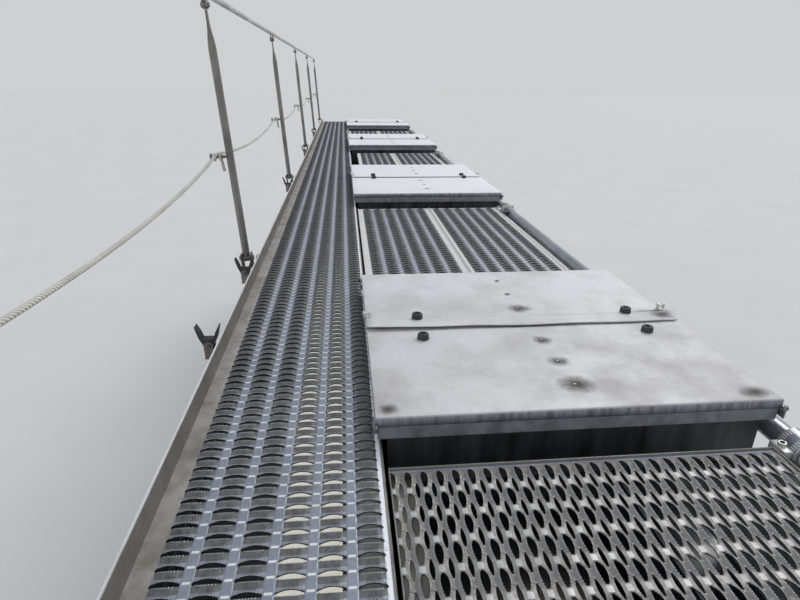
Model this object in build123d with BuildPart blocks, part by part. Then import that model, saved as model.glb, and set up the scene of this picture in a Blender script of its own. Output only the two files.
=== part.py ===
from build123d import *
import math
import os

os.makedirs("parts", exist_ok=True)

# Millimetres. +X towards the tractor end, +Y left, +Z up, ground at Z 0.
DECK = 3400.0            # top face of the walkway tread
TANK_TOP, TANK_BELLY = DECK - 200.0, 1460.0   # the chassis sets the belly's height
TANK_A, TANK_B = 1200.0, (TANK_TOP - TANK_BELLY) / 2
TANK_Z = (TANK_TOP + TANK_BELLY) / 2
TANK_END_R = 170.0       # rounding of the tank's ends
TANK_X = (-5950.0, 5950.0)
BANDS = (-5700.0, -3470.0, -560.0, 2240.0, 5670.0)
BAND_W, BAND_T = 60.0, 6.0
SEAT = 0.3               # gap between pieces that rest on each other

WALK_Y = (260.0, 719.0)
WALK_X = (-5850.0, 5450.0)
KICK_H = 64.0
SHEET = 5.0
PLANK_DROP = 40.0

COVER_Y = (-734.0, 273.0)
COVER_TOP = DECK + 80.0
LEAF_T = 4.0
LEAF_LIP = 26.0
HINGE_Z = DECK + 52.5
HINGE_OUT = 2.0          # hinge axis outside the cover's edge
BUFFER_R, BUFFER_H = 18.0, 20.0
BUFFER_Y = (-593.0, 108.0)
LAP = 30.0               # far leaf's lip over the near leaf
RIM_IN = 6.0
RIM_LOW, RIM_TOP = DECK + 18.0, DECK + 51.0
BOX_SET, BOX_SET_RIGHT = 24.0, 15.0   # box walls from the rim

# name, near edge X, far edge X, buffers on the near and on the far leaf from the seam
COVERS = [("c1", -4452.0, -3476.0, 91.0, 52.0), ("c2", -1870.0, -590.0, 56.0, 45.0),
          ("c3", 936.0, 2216.0, 56.0, 45.0), ("c4", 3652.0, 4932.0, 56.0, 45.0)]

# rear X, front X, left edge Y, planks laid across
GRATINGS = [(-5850.0, -4528.0, 249.0, True), (-3386.0, -1966.0, 249.0, False),
            (-500.0, 840.0, 184.0, False), (2306.0, 3556.0, 249.0, False),
            (5022.0, 5450.0, 249.0, True)]
GRATING_RIGHT = -666.0
PLANK_SEAM = -220.0

# the handrail leans outward and folds about pins square to its posts
POST_Y = 768.0
POST_STEP = 2090.0
POST_X = [-5240.0 + POST_STEP * i for i in range(6)]
POST_R = 15.5
FOOT_Z = DECK + 54.0
HEAD_Z = DECK + 1040.0
LEAN = 60.0              # head outward of foot
POST_L = math.hypot(LEAN, HEAD_Z - FOOT_Z)
UP = (LEAN / POST_L, (HEAD_Z - FOOT_Z) / POST_L)   # Y and Z of the post's direction
TIP_FROM, TIP_TO = 150.0, 55.0   # the post's tip flattens between these, below its head pin
HEAD_R, HEAD_T = 15.0, 10.0
PIN_R = 5.0
RAIL_R = 13.0
RAIL_UP = 42.0           # rail above the head pins
RAIL_X = (POST_X[0] - 260.0, POST_X[-1] + 200.0)
PEG_UP = 437.0           # peg above the foot pin, along the post
PEG_R = 6.0
ROPE_OUT = 50.0          # rope outward of the post, along the peg
ROPE_R = 6.0
ROPE_SAG = [60.0, 50.0, 60.0, 50.0, 45.0]
FORK_X = [-5390.0, -3905.0, -3220.0, -1200.0, 870.0, 2950.0]
FORK_T = 28.0
FORK_Z = DECK - 30.0     # underside of the forks

PIPE_Y, PIPE_Z, PIPE_R = -752.0, DECK - 25.0, 30.0
PIPE_BACK = -6010.0
PIPE_END_Y, PIPE_END_Z = -1120.0, 1350.0

AXLES = [-4060.0, -2750.0, -1440.0]
WHEEL_R, TYRE_W, WHEEL_Y = 525.0, 370.0, 1050.0
BEAD_R = 292.0
SPINDLE_R = 40.0
SIDES = [("l", 1), ("r", -1)]

RAIL_WEB_Y = 450.0
RAIL_TOP = TANK_BELLY + 240.0  # well inside the tank's outline, cut back to its skin
KINGPIN_X, PLATE_Z = 4750.0, 1188.0
LEG_X, LEG_Y = 2200.0, 650.0
ADAPTERS = [140.0 + 395.0 * i for i in range(4)]
ADAPTER_Z = 1150.0
BRANCH_Z = TANK_BELLY + 180.0  # top of each loading pipe, cut back to the tank's skin


def slab(x, y, z, mode=Mode.ADD):
    with Locations(((x[0] + x[1]) / 2, (y[0] + y[1]) / 2, (z[0] + z[1]) / 2)):
        Box(abs(x[1] - x[0]), abs(y[1] - y[0]), abs(z[1] - z[0]), mode=mode)


TURN = {"X": (0, 90, 0), "Y": (90, 0, 0), "Z": (0, 0, 0)}


def rod(centre, axis, radius, length, mode=Mode.ADD):
    with Locations(Location(centre, TURN[axis])):
        Cylinder(radius, length, mode=mode)


def oval(x0, x1, grow=0.0, mode=Mode.ADD):
    with BuildSketch(Plane(origin=(x0, 0, TANK_Z), x_dir=(0, 1, 0), z_dir=(1, 0, 0))) as section:
        Ellipse(TANK_A + grow, TANK_B + grow)
    extrude(section.sketch, amount=x1 - x0, mode=mode)


def off_tank():
    """Cut the piece being made back to the tank and its bands."""
    oval(TANK_X[0] - 400, TANK_X[1] + 400, SEAT, Mode.SUBTRACT)
    for x in BANDS:
        oval(x - BAND_W / 2 - SEAT, x + BAND_W / 2 + SEAT, BAND_T + SEAT, Mode.SUBTRACT)


def on_post(x, up=0.0):
    """The plane square to a post, its Y along the pins."""
    return Plane(origin=(x, POST_Y + up * UP[0], FOOT_Z + up * UP[1]),
                 x_dir=(1, 0, 0), z_dir=(0, *UP))


def turned(points, x, side, mode=Mode.ADD):
    """Revolve an outline of (radius, distance outward from the tyre's middle) about the axle."""
    centre = (x, side * WHEEL_Y, WHEEL_R)
    with BuildSketch(Plane(origin=centre, x_dir=(1, 0, 0), z_dir=(0, 0, 1))) as outline:
        with BuildLine():
            Polyline(*[(r, side * d) for r, d in points], close=True)
        make_face()
    revolve(outline.sketch, axis=Axis(centre, (0, 1, 0)), mode=mode)


def at(c, r, deg):
    return (c + r * math.cos(math.radians(deg)), WHEEL_R + r * math.sin(math.radians(deg)))


def save(built, name):
    built.part.label = name
    export_step(built.part, f"parts/{name}.step")
    print(name, len(built.part.solids()), round(built.part.volume / 1e9, 4))


# tank with its raised weld bands and rounded ends
with BuildPart() as tank_shell:
    oval(*TANK_X)
    ends = tank_shell.edges().filter_by(lambda e: min(abs(e.center().X - x) for x in TANK_X) < 1.0)
    fillet(ends, TANK_END_R)
    for x in BANDS:
        oval(x - BAND_W / 2, x + BAND_W / 2, BAND_T)
save(tank_shell, "tank_shell")

# walkway along the left side with its kick plate
with BuildPart() as walkway:
    slab(WALK_X, WALK_Y, (DECK - SHEET, DECK))
    slab(WALK_X, (WALK_Y[1] - SHEET, WALK_Y[1]), (DECK - PLANK_DROP, DECK + KICK_H))
    slab(WALK_X, (WALK_Y[0], WALK_Y[0] + SHEET), (DECK - PLANK_DROP, DECK))
save(walkway, "walkway")

# gratings between the covers, each of two or more channel planks
with BuildPart() as gratings:
    for x0, x1, left, across in GRATINGS:
        if across:
            count = max(1, round((x1 - x0) / 450.0))
            step = (x1 - x0) / count
            fields = [(x0 + i * step + 2, x0 + (i + 1) * step - 2, GRATING_RIGHT, left)
                      for i in range(count)]
        else:
            fields = [(x0, x1, PLANK_SEAM + 2, left), (x0, x1, GRATING_RIGHT, PLANK_SEAM - 2)]
        for a, b, right, lft in fields:
            slab((a, b), (right, lft), (DECK - SHEET, DECK))
            if across:
                for e in (a, b - SHEET):
                    slab((e, e + SHEET), (right, lft), (DECK - PLANK_DROP, DECK))
            else:
                for e in (right, lft - SHEET):
                    slab((a, b), (e, e + SHEET), (DECK - PLANK_DROP, DECK))
save(gratings, "gratings")

# upstands that carry the walkway and the gratings
with BuildPart() as deck_frame:
    top = DECK - SHEET - SEAT
    for y in (320.0, 650.0):
        slab((WALK_X[0] + 10, WALK_X[1] - 10), (y, y + 6), (DECK - 620, top))
    for x0, x1, left, across in GRATINGS:
        under = DECK - PLANK_DROP - SEAT if across else top
        for y in (left - 45.0, PLANK_SEAM - 60.0, GRATING_RIGHT + 30.0):
            slab((x0 + 3, x1 - 3), (y, y + 6), (DECK - 520, under))
    off_tank()
save(deck_frame, "deck_frame")

# box with rolled rim under each cover
with BuildPart() as spill_boxes:
    for name, near, far, *buffers in COVERS:
        r0, r1 = near + 2, far - 2
        y0, y1 = COVER_Y[0] + RIM_IN, COVER_Y[1] - RIM_IN
        slab((r0, r1), (y0, y1), (RIM_LOW, RIM_TOP))
        slab((r0 + 4, r1 - 4), (y0 + 4, y1 - 4), (RIM_LOW, RIM_TOP - 4), Mode.SUBTRACT)
        slab((r0 + BOX_SET, r1 - BOX_SET), (y0 + BOX_SET_RIGHT, y1 - BOX_SET), (DECK - 420, RIM_TOP))
        slab((r0 + BOX_SET + 5, r1 - BOX_SET - 5), (y0 + BOX_SET_RIGHT + 5, y1 - BOX_SET - 5),
             (DECK - 430, RIM_TOP + 9), Mode.SUBTRACT)
        for hx, way in ((near - HINGE_OUT, 1), (far + HINGE_OUT, -1)):
            for edge, out in ((COVER_Y[1], 1), (COVER_Y[0], -1)):
                a, b = edge + out * 1.5, edge + out * 5.5
                slab((hx - way * 8, hx + way * 34), (a, b), (DECK + 28, HINGE_Z + 8))
                slab((hx + way * 12, hx + way * 34), (edge - out * RIM_IN, b), (DECK + 28, DECK + 38))
                rod((hx, edge, HINGE_Z), "Y", 4.0, 11.0)
    off_tank()
save(spill_boxes, "spill_boxes")

# round manhole necks and lids inside the boxes
with BuildPart() as manhole_lids:
    for name, near, far, *buffers in COVERS:
        cx, cy = (near + far) / 2, (COVER_Y[0] + COVER_Y[1]) / 2
        rod((cx, cy, DECK - 180), "Z", 250, 200)
        rod((cx, cy, DECK - 70), "Z", 265, 30)
        rod((cx - 60, cy + 40, DECK - 40), "Z", 110, 40)
        slab((cx - 235, cx + 235), (cy - 150, cy - 110), (DECK - 56, DECK - 30))
        rod((cx + 110, cy + 90, DECK - 40), "Z", 40, 50)
    off_tank()
save(manhole_lids, "manhole_lids")

# two hinged leaves on each box
for name, near, far, on_near, on_far in COVERS:
    mid = (near + far) / 2
    for leaf, edge, way, buffer_in in (("near", near, 1, on_near), ("far", far, -1, on_far)):
        with BuildPart() as lf:
            seam = mid - way * 8.0
            top, low = COVER_TOP, COVER_TOP - LEAF_LIP
            slab((edge, seam), COVER_Y, (top - LEAF_T, top))
            slab((edge, edge + way * LEAF_T), COVER_Y, (low, top))
            slab((seam - way * LEAF_T, seam), COVER_Y, (low, top))
            for y in (COVER_Y[0], COVER_Y[1] - LEAF_T):
                slab((edge, seam), (y, y + LEAF_T), (low, top))
                hx = edge - way * HINGE_OUT
                rod((hx, y + LEAF_T / 2, HINGE_Z), "Y", 9.0, LEAF_T)
                slab((hx, edge + way * 14), (y, y + LEAF_T), (HINGE_Z - 2, low + 3))
            if leaf == "far":
                slab((seam - LEAF_T, seam), COVER_Y, (top - 2, top + 5))
                slab((mid - LAP, seam), COVER_Y, (top + 1, top + 5))
            for y in BUFFER_Y:
                rod((mid - way * buffer_in, y, top + BUFFER_H / 2 - 1), "Z", BUFFER_R, BUFFER_H)
            for y in COVER_Y:
                rod((edge - way * HINGE_OUT, y, HINGE_Z), "Y", 4.05, 20.0, Mode.SUBTRACT)
        save(lf, f"leaf_{name}_{leaf}")

# feet of the handrail and the forks that take it when it lies down
with BuildPart() as rail_feet:
    for x in POST_X:
        with Locations(on_post(x)):
            for s in (-1, 1):
                y = s * (POST_R + 4.5)
                slab((-26, 26), (y - 3, y + 3), (-62, 20))
            rod((0, 0, 0), "Y", 6.0, 2 * POST_R + 20)
        slab((x - 26, x + 26), (WALK_Y[1] + SEAT, POST_Y + POST_R + 4.5), (FOOT_Z - 68, FOOT_Z - 60))
        slab((x - 26, x + 26), (WALK_Y[1] + SEAT, WALK_Y[1] + 6), (FOOT_Z - 68, FOOT_Z + 8))
save(rail_feet, "rail_feet")

with BuildPart() as fork_plates:
    for x in FORK_X:
        face = x - FORK_T / 2 - SEAT
        slab((face - 4, x + 15), (WALK_Y[1] + SEAT, POST_Y + 15), (FORK_Z - 6, FORK_Z - SEAT))
        slab((x - 15, x + 15), (WALK_Y[1] + SEAT, WALK_Y[1] + 6), (FORK_Z - 6, FORK_Z + 40))
        slab((face - 4, face), (POST_Y - 13, POST_Y + 13), (FORK_Z - 6, FORK_Z + 42))
        rod((face - 2, POST_Y, FORK_Z + 42), "X", 13.0, 4.0)
        rod((face - 5, POST_Y, FORK_Z + 38), "X", 6.5, 6.0)
save(fork_plates, "fork_plates")

# half outline of a rubber fork above its underside: outer edge, tip, inner edge, notch
FORK = [(15, 0), (16, 40), (28, 66), (38, 104), (35.5, 106), (24, 84), (17, 62)]
with BuildPart() as rail_forks:
    for x in FORK_X:
        with BuildSketch(Plane(origin=(x - FORK_T / 2, POST_Y, FORK_Z), x_dir=(0, 1, 0), z_dir=(1, 0, 0))):
            with BuildLine():
                Polyline(*FORK, *[(-y, z) for y, z in reversed(FORK)], close=True)
            make_face()
        extrude(amount=FORK_T)
save(rail_forks, "rail_forks")

# posts, top rail and the rope's pegs
for i, x in enumerate(POST_X):
    with BuildPart() as post:
        with BuildSketch(on_post(x, POST_L - TIP_FROM)):
            Circle(POST_R)
        with BuildSketch(on_post(x, POST_L - TIP_TO)):
            Ellipse(HEAD_R, HEAD_T / 2)
        loft()
        with Locations(on_post(x)):
            rod((0, 0, (POST_L - TIP_FROM) / 2), "Z", POST_R, POST_L - TIP_FROM)
            rod((0, 0, 0), "Y", POST_R - 1, 2 * POST_R - 8)
            slab((-HEAD_R, HEAD_R), (-HEAD_T / 2, HEAD_T / 2), (POST_L - TIP_TO - 5, POST_L))
            rod((0, 0, POST_L), "Y", HEAD_R, HEAD_T)
            rod((0, 0, POST_L), "Y", PIN_R + (0.05 if i == 0 else 0.08), 40, Mode.SUBTRACT)
            rod((0, 0, 0), "Y", 6.05, 80, Mode.SUBTRACT)
            rod((0, ROPE_OUT - 6, PEG_UP), "Y", PEG_R, 60)
            rod((0, ROPE_OUT + 26.5, PEG_UP), "Y", 16.0, 5.0)
    save(post, f"post_{i}")

with BuildPart() as top_rail:
    with Locations(on_post(0, POST_L + RAIL_UP)):
        rod((sum(RAIL_X) / 2, 0, 0), "X", RAIL_R, RAIL_X[1] - RAIL_X[0])
save(top_rail, "top_rail")

# pairs of lugs under the rail, with the pin through each post's head
with BuildPart() as rail_lugs:
    for x in POST_X:
        with Locations(on_post(x, POST_L)):
            for s in (-1, 1):
                y = s * (HEAD_T / 2 + 3.0)
                slab((-14, 14), (y - 2.5, y + 2.5), (0, RAIL_UP))
                rod((0, y, 0), "Y", 14.0, 5.0)
            rod((0, 0, 0), "Y", PIN_R, 26.0)
    with Locations(on_post(0, POST_L + RAIL_UP)):
        rod((sum(RAIL_X) / 2, 0, 0), "X", RAIL_R + SEAT, RAIL_X[1] - RAIL_X[0], Mode.SUBTRACT)
save(rail_lugs, "rail_lugs")

# slack rope that lies over the pegs
peg = on_post(0, PEG_UP)
at_peg = peg.origin + peg.y_dir * ROPE_OUT
over = at_peg.Z + (PEG_R + ROPE_R + SEAT) / UP[1]
BEND_SHARE, END_BEND_IN = 0.092, 2.7     # how far each bend passes inside its point
route = []
STEPS = 12
for i in range(len(POST_X) - 1):
    for k in range(STEPS):
        t = k / STEPS
        bend = BEND_SHARE * (ROPE_SAG[i] + ROPE_SAG[i - 1]) / 2
        lift = 0 if k else bend if i else END_BEND_IN
        route.append((POST_X[i] + t * POST_STEP, at_peg.Y, over + lift - 4 * ROPE_SAG[i] * t * (1 - t)))
route.append((POST_X[-1], at_peg.Y, over + END_BEND_IN))
route.insert(0, (POST_X[0] - 60, at_peg.Y, over - 12))
route.append((POST_X[-1] + 60, at_peg.Y, over - 12))
radii = []
for a, b, c in zip(route, route[1:], route[2:]):
    u, v = Vector(*b) - Vector(*a), Vector(*c) - Vector(*b)
    turn = math.radians(u.get_angle(v))
    radii.append(0.45 * min(u.length, v.length) / math.tan(turn / 2))
print("rope radii", round(min(radii)), round(max(radii)), "points", len(route))
with BuildPart() as rope:
    with BuildLine() as line:
        FilletPolyline(*route, radius=radii)
    with BuildSketch(Plane(origin=line.line @ 0, z_dir=line.line % 0)):
        Circle(ROPE_R)
    sweep()
print("rope length", round(line.wires()[0].length))
save(rope, "rope")

# vapour pipe beside the deck, down the rear end, with its couplings
with BuildPart() as vapour_pipe:
    with BuildLine() as run:
        FilletPolyline((5380, PIPE_Y, PIPE_Z), (PIPE_BACK, PIPE_Y, PIPE_Z),
                       (PIPE_BACK, PIPE_Y, PIPE_END_Z), (PIPE_BACK, PIPE_END_Y, PIPE_END_Z),
                       radius=120)
    with BuildSketch(Plane(origin=(5380, PIPE_Y, PIPE_Z), z_dir=(-1, 0, 0))):
        Circle(PIPE_R)
        Circle(PIPE_R - 3, mode=Mode.SUBTRACT)
    sweep()
    for name, near, far, *buffers in COVERS:
        with BuildSketch(Plane(origin=(near - 92, PIPE_Y, PIPE_Z), z_dir=(1, 0, 0))):
            Circle(42)
            Circle(PIPE_R - 1, mode=Mode.SUBTRACT)
        extrude(amount=58)
    rod((5382, PIPE_Y, PIPE_Z), "X", PIPE_R, 6)
    with BuildSketch(Plane(origin=(PIPE_BACK, PIPE_END_Y, PIPE_END_Z), z_dir=(0, -1, 0))):
        Circle(50)
        Circle(PIPE_R - 1, mode=Mode.SUBTRACT)
    extrude(amount=30)
    for z in (TANK_Z - 230, TANK_Z + 230):
        slab((PIPE_BACK + 28, TANK_X[0] - SEAT), (PIPE_Y - 15, PIPE_Y + 15), (z, z + 20))
save(vapour_pipe, "vapour_pipe")

# brackets from the gratings to the pipe's side
with BuildPart() as pipe_brackets:
    for x0, x1, left, across in GRATINGS:
        for x in (x0 + 120, x1 - 120):
            slab((x - 15, x + 15), (PIPE_Y + PIPE_R, GRATING_RIGHT - SEAT), (DECK - 6, DECK - 1))
            slab((x - 15, x + 15), (PIPE_Y + PIPE_R - 16, PIPE_Y + PIPE_R + 3), (PIPE_Z - 8, DECK - 1))
    rod((0, PIPE_Y, PIPE_Z), "X", PIPE_R + SEAT, 12000, mode=Mode.SUBTRACT)
save(pipe_brackets, "pipe_brackets")

# chassis rails under the tank, and the cross members between their webs
with BuildPart() as chassis:
    for s in (-1, 1):
        y = s * RAIL_WEB_Y
        slab((-5800, 1700), (y - 6, y + 6), (1080, RAIL_TOP))
        slab((1700, 5650), (y - 6, y + 6), (1200, RAIL_TOP))
        slab((-5800, 1700), (y - 60, y + 60), (1080, 1094))
        slab((1700, 5650), (y - 60, y + 60), (1200, 1214))
        slab((1694, 1706), (y - 60, y + 60), (1080, 1214))
    off_tank()
save(chassis, "chassis")

with BuildPart() as cross_members:
    end = RAIL_WEB_Y - 6 - SEAT
    for x in (-5700, -4700, -3400, -2100, -700, 800, 2200, 3900, 5500):
        slab((x - 5, x + 5), (-end, end), (1230, RAIL_TOP))
    off_tank()
save(cross_members, "cross_members")

with BuildPart() as kingpin_plate:
    slab((3700, 5640), (-520, 520), (PLATE_Z, 1200 - SEAT))
    rod((KINGPIN_X, 0, PLATE_Z - 13), "Z", 36.5, 26)
    rod((KINGPIN_X, 0, PLATE_Z - 44), "Z", 25.4, 40)
    rod((KINGPIN_X, 0, PLATE_Z - 74), "Z", 35.7, 20)
save(kingpin_plate, "kingpin_plate")

with BuildPart() as landing_legs:
    for s in (-1, 1):
        y = s * LEG_Y
        slab((LEG_X - 65, LEG_X + 65), (y - 65, y + 65), (560, 1400))
        slab((LEG_X - 50, LEG_X + 50), (y - 50, y + 50), (60, 600))
        slab((LEG_X - 125, LEG_X + 125), (y - 115, y + 115), (0, 22))
        slab((LEG_X - 40, LEG_X + 40), (y - 40, y + 40), (20, 70))
        slab((LEG_X - 130, LEG_X + 130), (s * 456.3, y), (1225, 1400))
    rod((LEG_X, 0, 900), "Y", 22, 2 * LEG_Y - 100)
    slab((LEG_X - 90, LEG_X - 60), (LEG_Y - 60, LEG_Y + 150), (870, 930))
    rod((LEG_X - 75, LEG_Y + 200, 900), "Y", 12, 160)
save(landing_legs, "landing_legs")

with BuildPart() as axle_beams:
    for x in AXLES:
        rod((x, 0, WHEEL_R), "Y", 63, 1600)
        rod((x, 0, WHEEL_R), "Y", SPINDLE_R, 2040)
        for s in (-1, 1):
            rod((x, s * 815, WHEEL_R), "Y", 200, 70)
            rod((x + 150, s * 700, WHEEL_R + 40), "Y", 80, 130)
            slab((x + 60, x + 160), (s * 640, s * 700), (WHEEL_R - 20, WHEEL_R + 80))
            rod((x - 30, s * 745, WHEEL_R), "Y", 60, 100)
save(axle_beams, "axle_beams")

with BuildPart() as suspension:
    for x in AXLES:
        for s in (-1, 1):
            y = s * RAIL_WEB_Y
            slab((x + 430, x + 570), (y - 55, y + 55), (720, 1080 - SEAT))
            slab((x - 400, x + 520), (y - 40, y + 40), (WHEEL_R + 63 + SEAT, WHEEL_R + 140))
            slab((x + 440, x + 560), (y - 40, y + 40), (WHEEL_R + 120, 730))
            rod((x - 330, y, 870), "Z", 140, 410)
            rod((x - 330, y, 1068), "Z", 160, 22)
save(suspension, "suspension")

for sname, s in SIDES:
    for n, x in enumerate(AXLES, 1):
        with BuildPart() as tyre:
            h = TYRE_W / 2
            half = [(BEAD_R, h - 30), (330, h - 6), (420, h), (480, h - 8), (512, h - 26), (WHEEL_R, h - 60)]
            turned(half + [(r, -d) for r, d in reversed(half)], x, s)
        save(tyre, f"tyre_{sname}{n}")
        with BuildPart() as rim:
            half = [(272, 0), (280, 0), (280, 110), (BEAD_R - SEAT, 120), (BEAD_R - SEAT, h - 30),
                    (306, h - 20.6), (309, h - 12), (302, h - 8), (272, h - 26)]
            turned(half, x, s)
            turned([(r, -d) for r, d in half], x, s)
            turned([(90, 14), (170, 14), (230, 44), (272, 50), (272, 66), (225, 60), (165, 30), (90, 30)],
                   x, s)
            turned([(SPINDLE_R + 0.05, -180), (100, -180), (100, 24), (SPINDLE_R + 0.05, 24)], x, s)
            rod((x, s * (WHEEL_Y + 60), WHEEL_R), "Y", 75, 74)
        save(rim, f"rim_{sname}{n}")

for sname, s in SIDES:
    with BuildPart() as guard:
        R, T = 612.0, 8.0
        c0, c1 = AXLES[0], AXLES[-1]
        with BuildSketch(Plane(origin=(0, s * 850, 0), x_dir=(1, 0, 0), z_dir=(0, -1, 0))):
            with BuildLine():
                Line(at(c0, R, 170), at(c0, R + T, 170))
                ThreePointArc(at(c0, R + T, 170), at(c0, R + T, 130), at(c0, R + T, 90))
                Line(at(c0, R + T, 90), at(c1, R + T, 90))
                ThreePointArc(at(c1, R + T, 90), at(c1, R + T, 50), at(c1, R + T, 10))
                Line(at(c1, R + T, 10), at(c1, R, 10))
                ThreePointArc(at(c1, R, 10), at(c1, R, 50), at(c1, R, 90))
                Line(at(c1, R, 90), at(c0, R, 90))
                ThreePointArc(at(c0, R, 90), at(c0, R, 130), at(c0, R, 170))
            make_face()
        extrude(amount=-s * 405)
        crown = WHEEL_R + R + T
        for x, foot in ((c0 - 440, 960), (-3400, crown - 4), (-2100, crown - 4), (c1 + 440, 960)):
            slab((x - 25, x + 25), (s * (RAIL_WEB_Y + 6 + SEAT), s * 860), (crown, crown + 50))
            slab((x - 25, x + 25), (s * 850, s * 860), (foot, crown + 50))
    save(guard, f"fender_{sname}")

# hose tubes, side guards, adapters, toolbox
with BuildPart() as hose_tubes:
    for s in (-1, 1):
        rod((-2600, s * 1000, 1480), "X", 100, 4200)
        for x in (-4720, -480):
            rod((x, s * 1000, 1480), "X", 112, 60)
save(hose_tubes, "hose_tubes")

with BuildPart() as tube_saddles:
    for s in (-1, 1):
        for x in (-4200, -2750, -1300):
            slab((x - 30, x + 30), (s * 456.3, s * 1110), (1320, 1380 - SEAT))
            slab((x - 30, x + 30), (s * (1100 + SEAT), s * 1110), (1320, 1500))
save(tube_saddles, "tube_saddles")

GUARDS = [("l", 1, -640, 900), ("r", -1, -640, 1960)]
with BuildPart() as side_guards:
    for sname, s, x0, x1 in GUARDS:
        for z in (500, 840):
            slab((x0, x1), (s * 1222, s * 1244), (z, z + 110))
        for x in (x0 + 120, (x0 + x1) / 2 - 20, x1 - 120):
            slab((x - 25, x + 25), (s * 1192, s * 1224), (470, 1290))
            slab((x - 25, x + 25), (s * 456.3, s * 1224), (1240, 1290))
save(side_guards, "side_guards")

with BuildPart() as loading_pipes:
    for x in ADAPTERS:
        with BuildLine() as pth:
            FilletPolyline((x, -600, BRANCH_Z), (x, -600, ADAPTER_Z), (x, -1130, ADAPTER_Z), radius=110)
        with BuildSketch(Plane(origin=(x, -600, BRANCH_Z), z_dir=(0, 0, -1))):
            Circle(57)
        sweep()
        rod((x, -1085, ADAPTER_Z), "Y", 85, 60)
        rod((x, -1160, ADAPTER_Z), "Y", 62, 100)
        rod((x, -1203, ADAPTER_Z), "Y", 70, 22)
        slab((x - 12, x + 12), (-1095, -1075), (ADAPTER_Z + 70, ADAPTER_Z + 150))
    off_tank()
save(loading_pipes, "loading_pipes")

BOX_X, BOX_Y, BOX_Z = (1000, 1780), (720, 1238), (560, 1000)
with BuildPart() as toolbox:
    slab(BOX_X, BOX_Y, BOX_Z)
    slab((BOX_X[0] + 8, BOX_X[1] - 8), (BOX_Y[0] + 8, BOX_Y[1] + 10), (BOX_Z[0] + 8, BOX_Z[1] - 8), Mode.SUBTRACT)
    for x in (1120, 1660):
        slab((x - 25, x + 25), (400, 760), (1040, 1080 - SEAT))
        slab((x - 25, x + 25), (740, 760), (990, 1080 - SEAT))
    for z in (640, 920):
        slab((BOX_X[1] + 2, BOX_X[1] + 14), (1200, 1246), (z - 30, z - 14))
        slab((BOX_X[1] - 4, BOX_X[1] + 14), (1200, 1212), (z - 30, z - 14))
        rod((BOX_X[1] + 8, 1246, z - 2), "Z", 4, 56)
save(toolbox, "toolbox")

with BuildPart() as toolbox_door:
    slab((BOX_X[0], BOX_X[1] - 2), (BOX_Y[1] + 2, BOX_Y[1] + 8), BOX_Z)
    slab((BOX_X[0] + 60, BOX_X[0] + 90), (BOX_Y[1] + 8, BOX_Y[1] + 17), (740, 820))
    for z in (640, 920):
        rod((BOX_X[1] + 8, 1246, z + 6), "Z", 8, 36)
        slab((BOX_X[1] - 10, BOX_X[1] + 8), (1242, 1248), (z - 12, z + 24))
        rod((BOX_X[1] + 8, 1246, z + 6), "Z", 4.05, 40, Mode.SUBTRACT)
save(toolbox_door, "toolbox_door")

# rear end: bumper, lamp bar, ladder
with BuildPart() as bumper:
    slab((-6100, -6000), (-1200, 1200), (450, 560))
    for s in (-1, 1):
        plate = (s * (RAIL_WEB_Y + 6 + SEAT), s * (RAIL_WEB_Y + 60))
        slab((-6060, -6010), plate, (540, 1230))
        slab((-6060, -5700), plate, (1100, 1230))
    slab((-6075, -6060), (-1150, 1150), (860, 1010))
save(bumper, "bumper")

with BuildPart() as rear_lamps:
    for s in (-1, 1):
        slab((-6100, -6075 - SEAT), (s * 760, s * 1130), (875, 995))
save(rear_lamps, "rear_lamps")

LADDER_Z, LADDER_TOP, RUNG_STEP = 1240.0, DECK + 60.0, 255.0
with BuildPart() as ladder:
    for y in (300, 690):
        slab((-6060, -6030), (y - 12, y + 12), (LADDER_Z, LADDER_TOP))
        for z in (TANK_BELLY + 270, TANK_Z - 30, TANK_TOP - 270):
            slab((-6040, TANK_X[0] - SEAT), (y - 12, y + 12), (z, z + 30))
    for k in range(int((LADDER_TOP - 120 - LADDER_Z) / RUNG_STEP) + 1):
        rod((-6045, 495, LADDER_Z + 50 + RUNG_STEP * k), "Y", 13, 390)
    slab((-6040, WALK_X[0] - 2), (288, 702), (DECK - 10, DECK - 4))
save(ladder, "ladder")

with BuildPart() as front_panel:
    slab((TANK_X[1] + SEAT, 6080), (-260, 260), (TANK_BELLY + 290, TANK_BELLY + 640))
    for y in (-160, -55, 55, 160):
        rod((6090, y, TANK_BELLY + 440), "X", 22, 20)
save(front_panel, "front_panel")
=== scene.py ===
import math

import bmesh
import bpy
from bpy.props import FloatProperty, FloatVectorProperty, IntProperty, PointerProperty
from mathutils import Matrix, Vector, noise


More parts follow.
